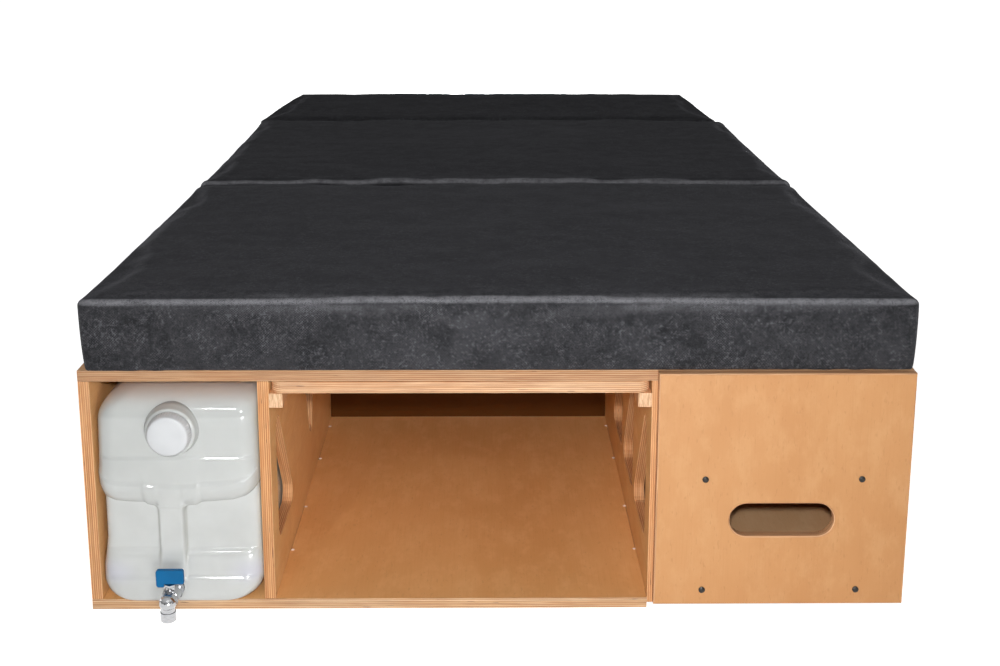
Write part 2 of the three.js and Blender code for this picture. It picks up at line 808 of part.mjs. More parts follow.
// Screw cap: a cup whose skirt is ridged for the hand.
function screwCap() {
  const bottom = collarLength + capPlay;
  const top = neckLength + capWall + capPlay;
  const innerRadius = neckRadius + capPlay;
  const soft = capWall * half;
  const profile = [
    [0, top - capWall],
    [innerRadius, top - capWall],
    [innerRadius, bottom],
    [capRadius, bottom],
    [capRadius - capRidge, top - soft - capWall],
    [capFrontRadius, top - soft],
    [capFrontRadius - capWall, top],
    [0, top],
  ].map(([r, y]) => new THREE.Vector2(r, y));
  const geometry = new THREE.LatheGeometry(profile, capRidges * 2);
  const position = geometry.attributes.position;
  for (let i = 0; i < position.count; i += 1) {
    const row = i % profile.length;
    const ridge = Math.floor(i / profile.length) % 2 === 0;
    if (ridge && (row === 3 || row === 4)) {
      const shrink = 1 - capRidge / capRadius;
      position.setX(i, position.getX(i) * shrink);
      position.setZ(i, position.getZ(i) * shrink);
    }
  }
  const x = canisterX + neckOffset;
  const z = canisterFloor + neckRise;
  const mesh = add('canister_cap', geometry, whiteCap, x, canisterFront, z);
  mesh.rotation.x = Math.PI;
}

// Tap: a small ball valve screwed through the canister's boss, with an elbow and a nozzle. Its
// pieces are drawn from the middle of the boss, lengths running towards the front.
function tap() {
  const seat = new THREE.Group();
  seat.position.set(canisterX + ribOffset, canisterFront, canisterFloor + tapRise);
  campingBox.add(seat);
  const place = (name, solid, material) => add(name, geometryOf(solid), material, 0, 0, 0, seat);
  const bar = (...args) => solidOf(roundBar(...args));
  const ball = (radius, reach) => {
    const geometry = new THREE.SphereGeometry(radius, roundSteps, roundSteps / 2);
    return solidOf(geometry.translate(0, -reach, 0));
  };
  const upright = (start, end, radius, reach, segments = roundSteps) =>
    solidOf(roundBar('z', start, end, radius, radius, segments).translate(0, -reach, 0));
  const hexRadius = (across) => across / Math.sqrt(3);

  const gasketEnd = seam + gasketThickness;
  const gasket = bar('y', seam, gasketEnd, flangeRadius)
    .subtract(bar('y', seam - overrun, gasketEnd + overrun, nippleRadius + seam));
  place('tap_gasket', gasket, rubber);

  const nutEnd = -tapBossLength - seam;
  const nutStart = nutEnd - nutThickness;
  const backnut = bar('y', nutStart, nutEnd, hexRadius(nutAcross), hexRadius(nutAcross), hexSides)
    .subtract(bar('y', nutStart - overrun, overrun, nippleRadius + seam));
  place('tap_backnut', backnut, whiteCap);

  const flangeStart = gasketEnd + seam;
  const hexStart = flangeStart + flangeThickness;
  const hexEnd = hexStart + hexLength;
  const barrelEnd = ballReach + ballRadius + ballWall;
  const glandTop = glandSeat + seam + glandHeight;
  let body = bar('y', nutStart - nippleSpare, flangeStart, nippleRadius);
  const joined = [
    bar('y', flangeStart, hexStart, flangeRadius),
    bar('y', hexStart, hexEnd, hexRadius(hexAcross), hexRadius(hexAcross), hexSides),
    bar('y', hexEnd, barrelEnd, barrelRadius),
    bar('y', barrelEnd, nozzleReach, elbowRadius - seam),
    ball(elbowRadius, nozzleReach),
    upright(-elbowDrop, 0, nozzleRadius - nozzleStep, nozzleReach),
    upright(0, glandSeat, glandRadius, ballReach),
  ];
  for (const part of joined) body = body.add(part);
  const boreRadius = bore * half;
  const hollows = [
    bar('y', nutStart - nippleSpare - overrun, nozzleReach, boreRadius),
    ball(ballRadius + ballPlay, ballReach),
    upright(-elbowDrop - overrun, 0, boreRadius, nozzleReach),
    upright(0, glandSeat + overrun, stemRadius + stemPlay, ballReach),
  ];
  for (const part of hollows) body = body.subtract(part);
  place('tap_body', body, chrome);

  const gland = upright(glandSeat + seam, glandTop, hexRadius(glandAcross), ballReach, hexSides)
    .subtract(upright(0, glandTop + overrun, stemRadius + stemPlay, ballReach));
  place('tap_gland_nut', gland, chrome);

  const boreLength = ballRadius * 2 + overrun;
  const crossBore = new THREE.CylinderGeometry(boreRadius, boreRadius, boreLength, roundSteps);
  crossBore.rotateZ(Math.PI / 2);
  crossBore.translate(0, -ballReach, 0);
  const stemTop = glandTop + leverHeight * half;
  const valveBall = ball(ballRadius, ballReach)
    .add(upright(0, stemTop, stemRadius, ballReach))
    .subtract(solidOf(crossBore));
  place('tap_ball', valveBall, chrome);

  const nozzleTop = -elbowDrop - seam;
  const rim = nozzleWall * half;
  const nozzleProfile = [
    [nozzleRadius - nozzleWall, nozzleTop],
    [nozzleRadius - nozzleWall, nozzleTop - nozzleLength + rim],
    [nozzleRadius - nozzleWall + rim * half, nozzleTop - nozzleLength],
    [nozzleRadius - rim, nozzleTop - nozzleLength],
    [nozzleRadius, nozzleTop - nozzleLength + rim],
    [nozzleRadius, nozzleTop],
    [nozzleRadius - nozzleWall, nozzleTop],
  ].map(([r, z]) => new THREE.Vector2(r, z));
  const nozzle = new THREE.LatheGeometry(nozzleProfile, roundSteps);
  nozzle.rotateX(Math.PI / 2);
  nozzle.translate(0, -nozzleReach, 0);
  add('tap_nozzle', nozzle, chrome, 0, 0, 0, seat);

  // The lever stands across the flow while the tap is shut, a lobe at its left foot.
  const leverBottom = glandTop + leverGap;
  const leverTop = leverBottom + leverHeight;
  const wing = leverWidth * half;
  const lobeEnd = -hexRadius(glandAcross) - leverGap;
  const blade = slab(outline([
    [-wing, leverBottom - leverLobe, leverRadius],
    [lobeEnd, leverBottom - leverLobe, leverRadius * half],
    [lobeEnd, leverBottom],
    [wing, leverBottom, leverRadius * half],
    [wing, leverTop, leverRadius],
    [-wing, leverTop, leverRadius],
  ]), leverThickness, facingPlane, leverChamfer);
  blade.translate(0, leverThickness * half - ballReach, 0);
  const lever = solidOf(blade).subtract(upright(0, stemTop + stemPlay, stemRadius + stemPlay, ballReach));
  place('tap_lever', lever, blueNylon);
}

topPanel();
bottomPanel();
uprights();
table();
bed();
mattress();
drawer();
slides();
canister();
screwCap();
tap();

export default campingBox;
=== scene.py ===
"""Looks of the van camping box: plywood boards, velour cushions, a plastic canister and its tap."""

import json
import math

import bmesh
import bpy
import numpy as np
from mathutils import Matrix, Vector, noise

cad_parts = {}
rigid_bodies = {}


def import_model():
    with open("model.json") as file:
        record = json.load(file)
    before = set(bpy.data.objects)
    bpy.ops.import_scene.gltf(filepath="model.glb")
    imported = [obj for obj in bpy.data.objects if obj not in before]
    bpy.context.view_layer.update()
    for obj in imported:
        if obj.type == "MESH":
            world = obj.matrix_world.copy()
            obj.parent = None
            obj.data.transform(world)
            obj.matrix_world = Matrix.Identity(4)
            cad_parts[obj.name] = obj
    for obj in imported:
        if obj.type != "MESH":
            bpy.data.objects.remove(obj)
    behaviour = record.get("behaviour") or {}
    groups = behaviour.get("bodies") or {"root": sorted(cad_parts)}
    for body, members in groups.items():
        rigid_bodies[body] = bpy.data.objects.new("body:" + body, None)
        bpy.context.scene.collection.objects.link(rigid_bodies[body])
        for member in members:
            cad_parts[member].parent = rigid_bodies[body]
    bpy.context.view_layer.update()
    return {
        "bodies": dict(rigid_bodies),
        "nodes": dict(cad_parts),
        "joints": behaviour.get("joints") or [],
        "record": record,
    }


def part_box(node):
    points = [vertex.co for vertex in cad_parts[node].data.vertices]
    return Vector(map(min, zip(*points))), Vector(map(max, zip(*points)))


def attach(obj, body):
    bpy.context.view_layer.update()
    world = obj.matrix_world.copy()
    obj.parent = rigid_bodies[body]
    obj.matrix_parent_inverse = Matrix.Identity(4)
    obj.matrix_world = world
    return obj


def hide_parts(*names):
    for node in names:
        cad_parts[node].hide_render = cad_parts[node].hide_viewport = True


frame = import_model()
nodes = frame["nodes"]
body_of = {}
for body, names in frame["record"]["behaviour"]["bodies"].items():
    for node in names:
        body_of[node] = body

MM = 0.001
X, Y, Z = 0, 1, 2


def srgb(red, green, blue):
    """A linear colour with alpha, from the 0 to 255 values that a screen shows."""
    linear = []
    for value in (red, green, blue):
        share = value / 255
        linear.append(share / 12.92 if share <= 0.04045 else ((share + 0.055) / 1.055) ** 2.4)
    return (*linear, 1.0)


class Surface:
    """A material's node tree, built node by node, that ends in a Principled shader."""

    def __init__(self, name):
        self.material = bpy.data.materials.new(name)
        self.material.use_nodes = True
        tree = self.material.node_tree
        self.nodes, self.links = tree.nodes, tree.links
        self.nodes.clear()
        output = self.nodes.new("ShaderNodeOutputMaterial")
        self.shader = self.nodes.new("ShaderNodeBsdfPrincipled")
        self.links.new(self.shader.outputs[0], output.inputs["Surface"])

    def put(self, socket, value):
        if isinstance(value, bpy.types.NodeSocket):
            self.links.new(value, socket)
        else:
            socket.default_value = value

    def set(self, **values):
        for name, value in values.items():
            self.put(self.shader.inputs[name.replace("_", " ")], value)
        return self.material

    def place(self):
        return self.nodes.new("ShaderNodeTexCoord").outputs["Object"]

    def normal(self):
        return self.nodes.new("ShaderNodeTexCoord").outputs["Normal"]

    def split(self, vector):
        node = self.nodes.new("ShaderNodeSeparateXYZ")
        self.links.new(vector, node.inputs[0])
        return list(node.outputs)

    def calc(self, operation, a, b=0.0):
        node = self.nodes.new("ShaderNodeMath")
        node.operation = operation
        for socket, value in zip(node.inputs, (a, b)):
            self.put(socket, value)
        return node.outputs[0]

    def stretched(self, vector, factors, offset=(0, 0, 0)):
        node = self.nodes.new("ShaderNodeVectorMath")
        node.operation = "MULTIPLY_ADD"
        self.put(node.inputs[0], vector)
        self.put(node.inputs[1], factors)
        self.put(node.inputs[2], offset)
        return node.outputs[0]

    def noise(self, vector, scale=1.0, detail=2.0, roughness=0.5, distortion=0.0):
        node = self.nodes.new("ShaderNodeTexNoise")
        self.put(node.inputs["Vector"], vector)
        self.put(node.inputs["Scale"], scale)
        self.put(node.inputs["Detail"], detail)
        self.put(node.inputs["Roughness"], roughness)
        self.put(node.inputs["Distortion"], distortion)
        return node.outputs["Fac"]

    def random(self, value):
        node = self.nodes.new("ShaderNodeTexWhiteNoise")
        node.noise_dimensions = "1D"
        self.put(node.inputs["W"], value)
        return node.outputs["Value"]

    def remap(self, value, low, high, to_low=0.0, to_high=1.0):
        node = self.nodes.new("ShaderNodeMapRange")
        node.interpolation_type = "SMOOTHSTEP"
        for socket, number in zip(node.inputs, (value, low, high, to_low, to_high)):
            self.put(socket, number)
        return node.outputs[0]

    def mix(self, factor, a, b, blend="MIX"):
        """A mix of two colours, whose sockets follow those for numbers and vectors."""
        node = self.nodes.new("ShaderNodeMix")
        node.data_type = "RGBA"
        node.blend_type = blend
        self.put(node.inputs[0], factor)
        self.put(node.inputs[6], a)
        self.put(node.inputs[7], b)
        return node.outputs[2]

    def bump(self, height, distance, strength=1.0):
        node = self.nodes.new("ShaderNodeBump")
        self.put(node.inputs["Height"], height)
        self.put(node.inputs["Distance"], distance)
        self.put(node.inputs["Strength"], strength)
        return node.outputs[0]

    def level(self, name, value):
        """Sets a constant straight on the shader's socket."""
        self.shader.inputs[name].default_value = value


# Plywood. Faces are rotary-cut birch under lacquer. Edges show the plies and their glue lines.
FACE = srgb(221, 165, 112)
FACE_WARM = srgb(206, 147, 93)
FACE_PALE = srgb(229, 177, 126)
FLECK = srgb(170, 112, 66)
PLY_PALE = srgb(238, 198, 156)
PLY_DARK = srgb(201, 140, 92)
GLUE = srgb(126, 68, 40)
VOID = srgb(84, 48, 30)
PLY_PITCH = 1.36 * MM
PLAIN_TONE = (1, 1, 1)
PLAIN_GLOSS = 0.35
# Painted light and shade: each listed board's face colour is scaled for how much light reaches it there;
# the back panel's inner face is darkened as painted shade.
PAINTED_LIGHT_TONES = {
    "bottom_panel": (1.15, 1.21, 1.12),
    "back_panel": (0.12, 0.075, 0.035),
    "divider_left": (1.3, 1.56, 1.64),
    "divider_right": (1.2, 1.36, 1.36),
    "side_panel_left": (1.12, 1.19, 1.17),
    "drawer_front": (0.75, 0.72, 0.67),
    "drawer_bottom": (1.35, 1.55, 1.88),
}
GLOSS = {"back_panel": 0.03, "divider_left": 0.2, "divider_right": 0.2}
EDGE_TONE = (0.95, 0.95, 0.95)
UPRIGHT_EDGE = (0.94, 0.86, 0.74)
# Edge tones per board: the top panel's edge is darkened as painted shade; the others shift the edge
# colour.
EDGE_TONES_AND_SHADE = {
    "bottom_panel": (0.92, 1.06, 1.16),
    "top_panel": (0.68, 0.68, 0.67),
    "table_board": (0.96, 1.04, 1.12),
    "divider_left": UPRIGHT_EDGE,
    "divider_right": UPRIGHT_EDGE,
    "side_panel_left": UPRIGHT_EDGE,
    "side_panel_right": UPRIGHT_EDGE,
}


def axis_factors(axis, along, across, through, grain):
    """Scale factors for X, Y and Z: along the grain, across it and through the board."""
    factors = [across] * 3
    factors[grain] = along
    factors[axis] = through
    return tuple(factors)


def plywood(name, axis, start, thickness, grain, seed, painted_light_tone, edge_tone_and_shade, gloss):
    """The board's thickness runs along one axis from start; its face grain along another."""
    s = Surface(name)
    place = s.place()
    shifted = s.stretched(place, (1, 1, 1), (seed * 0.37, seed * 0.53, seed * 0.71))
    facing = s.calc("ABSOLUTE", s.split(s.normal())[axis])
    on_face = s.remap(facing, 0.93, 0.99)

    def drawn_out(along_grain, across, **settings):
        factors = axis_factors(axis, along_grain, across, across, grain)
        return s.noise(s.stretched(shifted, factors), **settings)

    fibres = drawn_out(14, 520, detail=3)
    mottle = drawn_out(17, 34, detail=5, roughness=0.68)
    clouds = drawn_out(2.6, 6, detail=3, distortion=0.8)
    flecks = drawn_out(95, 330, detail=1)
    face = s.mix(s.remap(clouds, 0.35, 0.68, 0, 0.5), FACE, FACE_WARM)
    face = s.mix(s.remap(mottle, 0.43, 0.68, 0, 0.55), face, FACE_PALE)
    face = s.mix(s.remap(fibres, 0.5, 0.78, 0, 0.08), face, FLECK)
    face = s.mix(s.remap(flecks, 0.65, 0.75, 0, 0.19), face, FLECK)
    # The painted light tone goes on every face but the rear one.
    painted_light_faces = s.calc("LESS_THAN", s.split(s.normal())[Y], 0.5)
    face = s.mix(painted_light_faces, face, (*painted_light_tone, 1), "MULTIPLY")

    plies = max(3, round(thickness / PLY_PITCH))
    depth = s.calc("DIVIDE", s.calc("SUBTRACT", s.split(place)[axis], start), thickness / plies)
    wander = s.noise(s.stretched(shifted, axis_factors(axis, 16, 16, 30, grain)), detail=2)
    depth = s.calc("ADD", depth, s.calc("MULTIPLY", s.calc("SUBTRACT", wander, 0.5), 0.7))
    ply = s.calc("FLOOR", depth)
    inside = s.calc("FRACT", depth)
    crossed = s.calc("PINGPONG", ply, 1)
    chance = s.random(s.calc("ADD", ply, seed * 13.7))
    streaks = s.noise(s.stretched(shifted, axis_factors(axis, 24, 24, 1300, grain)), detail=3)
    patches = s.noise(s.stretched(shifted, axis_factors(axis, 9, 9, 60, grain)), detail=3)
    edge = s.mix(crossed, PLY_PALE, PLY_DARK)
    edge = s.mix(s.calc("MULTIPLY", chance, 0.6), edge, PLY_DARK)
    edge = s.mix(s.remap(patches, 0.4, 0.7, 0, 0.35), edge, PLY_PALE)
    edge = s.mix(s.remap(streaks, 0.5, 0.74, 0, 0.35), edge, GLUE)
    gap = s.calc("ABSOLUTE", s.calc("SUBTRACT", inside, 0.5))
    breaks = s.noise(s.stretched(shifted, axis_factors(axis, 12, 12, 400, grain)), detail=2)
    line = s.calc("MULTIPLY", s.remap(gap, 0.27, 0.46), s.remap(breaks, 0.34, 0.62, 0.2, 1.0))
    edge = s.mix(line, edge, GLUE)
    holes = s.noise(s.stretched(shifted, axis_factors(axis, 34, 34, 520, grain)), detail=1)
    hole = s.calc("MULTIPLY", s.remap(holes, 0.73, 0.77), crossed)
    edge = s.mix(hole, edge, VOID)
    edge = s.mix(1, edge, (*edge_tone_and_shade, 1), "MULTIPLY")

    colour = s.mix(on_face, edge, face)
    height = s.calc("ADD", s.calc("MULTIPLY", fibres, 0.25), s.calc("MULTIPLY", line, -0.8))
    height = s.calc("SUBTRACT", height, s.calc("MULTIPLY", hole, 2))
    rough = s.remap(fibres, 0.3, 0.8, 0.4, 0.54)
    rough = s.calc("ADD", rough, s.calc("MULTIPLY", s.calc("SUBTRACT", 1, on_face), 0.2))
    s.level("Specular IOR Level", gloss)
    return s.set(
        Base_Color=colour,
        Roughness=rough,
        Normal=s.bump(height, 0.12 * MM, 0.5),
    )


PLANED = srgb(226, 176, 130)
PLANED_DARK = srgb(196, 140, 94)
END_PALE = srgb(226, 188, 150)
END_DARK = srgb(180, 134, 94)


def solid_birch(name, seed):
    """A planed strip of solid wood, its end grain pale and rough."""
    s = Surface(name)
    shifted = s.stretched(s.place(), (1, 1, 1), (seed * 0.3, seed * 0.2, seed * 0.9))
    ends = s.remap(s.calc("ABSOLUTE", s.split(s.normal())[Y]), 0.8, 0.95)
    grain = s.noise(s.stretched(shifted, (600, 12, 600)), detail=3)
    pores = s.noise(s.stretched(shifted, (900, 700, 110)), detail=3)
    side = s.mix(s.remap(grain, 0.4, 0.75), PLANED, PLANED_DARK)
    end = s.mix(s.remap(pores, 0.35, 0.7), END_PALE, END_DARK)
    height = s.calc("ADD", grain, s.calc("MULTIPLY", pores, ends))
    return s.set(Base_Color=s.mix(ends, side, end), Roughness=0.6, Normal=s.bump(height, 0.15 * MM, 0.5))


THREAD_PITCH = 3.6 * MM
PALE_THREAD = (0.15, 0.15, 0.165, 1)
RIM_HIGHLIGHT = (0.27, 0.27, 0.29, 1)
DEEP_PILE = (0.008, 0.008, 0.009, 1)
FRONT_SHADE = (0.003, 0.003, 0.004, 1)
TOP_SHADE = (0.004, 0.004, 0.005, 1)
STROKED = (0.08, 0.08, 0.087, 1)
FRONT_TOP_LIGHTER = (0.09, 0.09, 0.1, 1)


def velour(name, seed, painted_light_level, rim_highlight_share, front_shade_share):
    """Short-piled cloth: a fine weave and patches where the pile lies another way, with painted light: a
    highlight on the front-top rim and shade on top and front faces, and a patchy lighter strip on the
    top near the front.
    """
    s = Surface(name)
    place = s.stretched(s.place(), (1, 1, 1), (seed * 0.41, seed * 0.23, seed * 0.17))
    x, y, z = s.split(place)
    nx, ny, nz = s.split(s.normal())
    aside = s.calc("GREATER_THAN", s.calc("ABSOLUTE", nx), 0.7)
    not_aside = s.calc("SUBTRACT", 1, aside)
    across = s.calc("ADD", s.calc("MULTIPLY", x, not_aside), s.calc("MULTIPLY", y, aside))
    along = s.calc("ADD", z, s.calc("MULTIPLY", y, not_aside))
    twill = s.calc("SINE", s.calc("MULTIPLY", across, 2 * math.pi / THREAD_PITCH))
    stitch = s.calc("SINE", s.calc("MULTIPLY", along, 2 * math.pi / THREAD_PITCH))
    weave = s.remap(s.calc("MULTIPLY", twill, stitch), 0.0, 0.7)
    patches = s.noise(place, 30, detail=7, roughness=0.7)
    brushed = s.noise(place, 24, detail=7, roughness=0.76, distortion=0.3)
    smudged = s.stretched(place, (3.2, 4.4, 4.4))
    smudges = s.noise(smudged, detail=5, roughness=0.6, distortion=0.8)
    mottle = s.noise(place, 120, detail=5, roughness=0.7)
    pile = s.noise(place, 620, detail=2, roughness=0.6)
    speckle = s.noise(place, 300, detail=1)
    strokes = s.noise(s.stretched(place, (2.4, 6, 6)), detail=7, roughness=0.7, distortion=0.6)
    # Painted light: the cloth's colours, sheen and gloss are scaled by the cushion's light level, making
    # lit and shaded copies of one fabric.
    low = (0.020 * painted_light_level, 0.0205 * painted_light_level, 0.0225 * painted_light_level, 1)
    high = (0.052 * painted_light_level, 0.052 * painted_light_level, 0.057 * painted_light_level, 1)
    smudge = (0.085 * painted_light_level, 0.085 * painted_light_level, 0.095 * painted_light_level, 1)
    shown = s.remap(patches, 0.43, 0.62)
    # Painted highlight on the rim between the front and the top, strongest where the face turns both
    # forward and up.
    turned = s.calc("MULTIPLY", s.calc("MULTIPLY", ny, -2), nz)
    fuzz = s.noise(place, 70, detail=5, roughness=0.7)
    rim_highlight = s.calc("MULTIPLY", s.remap(turned, 0.2, 0.95), s.remap(fuzz, 0.3, 0.62, 0.5, 1.0))
    rim_highlight = s.calc("MULTIPLY", rim_highlight, s.remap(weave, 0, 1, 0.75, 1.0))
    top_facing = s.remap(nz, 0.75, 0.99)
    colour = s.mix(s.remap(brushed, 0.26, 0.74), low, high)
    colour = s.mix(s.remap(smudges, 0.52, 0.74, 0, 0.6), colour, smudge)
    colour = s.mix(s.remap(mottle, 0.44, 0.62, 0, 0.6), colour, high)
    colour = s.mix(s.calc("MULTIPLY", weave, s.calc("MULTIPLY", shown, 0.5)), colour, PALE_THREAD)
    grain = s.calc("MULTIPLY", s.remap(speckle, 0.52, 0.7), s.remap(patches, 0.4, 0.6, 0.1, 0.6))
    colour = s.mix(grain, colour, PALE_THREAD)
    # Painted shade: top-facing cloth is darkened; the strokes below lie on the top only.
    colour = s.mix(s.calc("MULTIPLY", top_facing, 0.42), colour, TOP_SHADE)
    stroked = s.calc("MULTIPLY", top_facing, s.remap(strokes, 0.46, 0.7, 0, 0.3))
    colour = s.mix(stroked, colour, STROKED)
    # A patchy lighter strip on the top near the front edge.
    near = s.remap(s.split(s.place())[Y], -0.3, -0.375)
    near = s.calc("MULTIPLY", near, s.remap(fuzz, 0.4, 0.6, 0.1, 0.4))
    colour = s.mix(s.calc("MULTIPLY", near, top_facing), colour, FRONT_TOP_LIGHTER)
    colour = s.mix(s.calc("MULTIPLY", rim_highlight, rim_highlight_share), colour, RIM_HIGHLIGHT)
    colour = s.mix(s.remap(pile, 0.46, 0.72, 0, 0.6), colour, DEEP_PILE)
    # Painted shade on faces that face the front: the dark gaps between cushions, and a dimmer front on
    # the front cushion.
    front_shade_mask = s.remap(s.calc("MULTIPLY", ny, -1), 0.75, 0.95, 0, front_shade_share)
    colour = s.mix(front_shade_mask, colour, FRONT_SHADE)
    height = s.calc("ADD", s.calc("MULTIPLY", weave, 0.6), s.calc("ADD", pile, mottle))
    s.level("Sheen Weight", 0.05 * painted_light_level)
    s.level("Sheen Roughness", 0.4)
    s.level("Sheen Tint", (0.8, 0.8, 0.9, 1))
    s.level("Specular IOR Level", 0.15 * painted_light_level)
    return s.set(Base_Color=colour, Roughness=0.94, Normal=s.bump(height, 0.6 * MM, 0.6))


def moulded(name, colour, roughness, speckle=0.04, specular=0.5):
    """Moulded plastic: slow unevenness of colour and gloss, and a fine mould texture."""
    s = Surface(name)
    place = s.place()
    slow = s.noise(place, 22, detail=2)
    fine = s.noise(place, 1400, detail=2)
    shade = tuple(value * (1 - speckle * 2) for value in colour[:3]) + (1,)
    s.level("Specular IOR Level", specular)
    return s.set(
        Base_Color=s.mix(s.remap(slow, 0.35, 0.7), colour, shade),
        Roughness=s.remap(slow, 0.3, 0.7, roughness * 0.85, roughness * 1.15),
        Normal=s.bump(fine, 0.02 * MM, 0.3),
    )


def metal(name, colour, roughness, metallic=1.0, brushed=0.0):
    """Plated or blackened metal with faint wipe marks in its gloss."""
    s = Surface(name)
    place = s.place()
    marks = s.noise(s.stretched(place, (180, 180, 700)), detail=4)
    rough = s.remap(marks, 0.3, 0.75, roughness * 0.7, roughness * 1.5)
    s.level("Metallic", metallic)
    dull = tuple(value * 0.82 for value in colour[:3]) + (1,)
    return s.set(
        Base_Color=s.mix(s.remap(marks, 0.4, 0.8), colour, dull),
        Roughness=rough,
        Normal=s.bump(marks, (0.01 + brushed) * MM, 0.25),
    )


WHITE_CAP = moulded("white_cap", srgb(199, 201, 203), 0.38)
BLUE = moulded("blue_nylon", srgb(0, 96, 148), 0.5, speckle=0.08, specular=0.25)
RUBBER = moulded("rubber", srgb(28, 28, 28), 0.75)
CHROME = metal("chrome", srgb(184, 185, 187), 0.16)
ZINC = metal("zinc_steel", srgb(172, 176, 180), 0.3, brushed=0.03)
BLACK = metal("black_steel", srgb(44, 42, 40), 0.42, metallic=0.5)


# Boards: copies of the CAD boards with eased edges, each with its own grain.
GRAIN = {
    "bottom_panel": Y,
    "table_board": X,
    "top_panel": X,
    "back_panel": X,
    "drawer_bottom": Y,
    "drawer_front": Z,
    "drawer_inner_front": X,
    "drawer_back": X,
    "leg_panel_1": X,
    "leg_panel_2": X,
}
BOARD_EASE = 0.45 * MM
FLAT_ANGLE = math.radians(2)
SHARP_ANGLE = math.radians(28)
RUNNERS = ("table_runner_left", "table_runner_right")


def shown_copy(node, name):
    """A copy of a CAD node's mesh as an object of its own."""
    piece = bpy.data.objects.new(name, nodes[node].data.copy())
    bpy.context.collection.objects.link(piece)
    piece.data.materials.clear()
    return piece


def ease(piece, width, segments=2):
    """Rounds the sharp edges of a board. Arcs that are made of facets stay as they are."""
    bm = bmesh.new()
    bm.from_mesh(piece.data)
    bmesh.ops.remove_doubles(bm, verts=bm.verts, dist=0.001 * MM)
    bmesh.ops.dissolve_limit(bm, angle_limit=FLAT_ANGLE, verts=bm.verts, edges=bm.edges)
    sharp = [e for e in bm.edges if len(e.link_faces) == 2 and e.calc_face_angle(0) > SHARP_ANGLE]
    bmesh.ops.bevel(
        bm,
        geom=sharp,
        offset=width,
        segments=segments,
        profile=0.5,
        affect="EDGES",
        clamp_overlap=True,
    )
    bm.normal_update()
    bm.to_mesh(piece.data)
    bm.free()


def dress(piece, node, material):
    """Puts a material on a piece that stands for a CAD node, and lets it move with that node."""
    piece.data.materials.append(material)
    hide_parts(node)
    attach(piece, body_of[node])


def boards():
    slots = {entry["node"]: entry["material_slot"] for entry in frame["record"]["subparts"]}
    wooden = [node for node in nodes if slots[node] == "birch_plywood"]
    for seed, node in enumerate(sorted(wooden), 1):
        low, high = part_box(node)
        size = high - low
        axis = min((X, Y, Z), key=lambda i: size[i])
        longest = max((X, Y, Z), key=lambda i: size[i])
        piece = shown_copy(node, f"{node}_wood")
        ease(piece, BOARD_EASE)
        if node in RUNNERS:
            material = solid_birch(f"{node}_birch", seed)
        else:
            grain = GRAIN.get(node, longest)
            painted_light_tone = PAINTED_LIGHT_TONES.get(node, PLAIN_TONE)
            edge_tone_and_shade = EDGE_TONES_AND_SHADE.get(node, EDGE_TONE)
            gloss = GLOSS.get(node, PLAIN_GLOSS)
            span = (low[axis], size[axis])
            material = plywood(f"{node}_ply", axis, *span, grain, seed, painted_light_tone, edge_tone_and_shade, gloss)
        dress(piece, node, material)


# Discs of painted light in the tab slots' router corners: their places, foot height and profile in mm.
DISC_COLUMNS = (-300.1, 205.1)
DISC_ROWS = (-230, -83.5, 107.5, 254.5)
DISC_FOOT = 15
DISC_PROFILE = ((2.7, 0.02), (2.4, 0.5), (1.7, 0.85), (0.8, 1.0))
DISC_STEPS = 16


def light_disc(x, y, start):
    """One domed disc: its points in mm, and its faces from the first point's number on."""
    steps = DISC_STEPS
    turns = [2 * math.pi * i / steps for i in range(steps)]
    points, faces = [], []
    for radius, rise in DISC_PROFILE:
        for angle in turns:
            point = (x + radius * math.cos(angle), y + radius * math.sin(angle), DISC_FOOT + rise)
            points.append(point)
    for ring in range(len(DISC_PROFILE) - 1):
        low, high = start + ring * steps, start + (ring + 1) * steps
        for i in range(steps):
            j = (i + 1) % steps
            faces.append((low + i, low + j, high + j, high + i))
    faces.append([start + (len(DISC_PROFILE) - 1) * steps + i for i in range(steps)])
    faces.append([start + i for i in reversed(range(steps))])
    return points, faces


def slot_light_discs():
    """Pale domed discs in the router corners of the bottom panel's tab slots: painted light that stands
    for the bright floor seen through the open corners.
    """
    points, faces = [], []
    for x in DISC_COLUMNS:
        for y in DISC_ROWS:
            dome, sides = light_disc(x, y, len(points))
            points += dome
            faces += sides
    mesh = bpy.data.meshes.new("slot_light_discs")
    mesh.from_pydata([[value * MM for value in point] for point in points], [], faces)
    piece = bpy.data.objects.new("slot_light_discs", mesh)
    bpy.context.collection.objects.link(piece)
    piece.data.materials.append(moulded("painted_floor_light", srgb(246, 226, 214), 0.6))
    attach(piece, body_of["bottom_panel"])


boards()
slot_light_discs()


# Cushions: foam under a fitted cover. Places are in metres from the cushion's middle.
FOAM = 100 * MM
CUSHION_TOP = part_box("top_panel")[1].z + FOAM
CUSHION_HALF_WIDTH = 555 * MM
CUSHION_FRONT = -380 * MM
CORNER_STEPS = 5
FOOT_RADIUS = 7 * MM
CROWN = 2 * MM
SIDE_PULL = 2 * MM
SIDE_HOLLOW = 1.5 * MM
TUCK_LEFT = 4.5 * MM
TUCK_RIGHT = 2.0 * MM
LIP_WAVE = 4 * MM
NOTCH = 7 * MM
LONG_RIPPLE = 0.6 * MM
SHORT_RIPPLE = 0.35 * MM
FILL_PRESSURE = 0.8
FILL_CAP = 2.2 * MM
STITCHED = -0.97


def smooth(value, low, high):
    """A soft step from 0 at low to 1 at high, for arrays."""
    share = np.clip((value - low) / (high - low), 0, 1)
    return share * share * (3 - 2 * share)


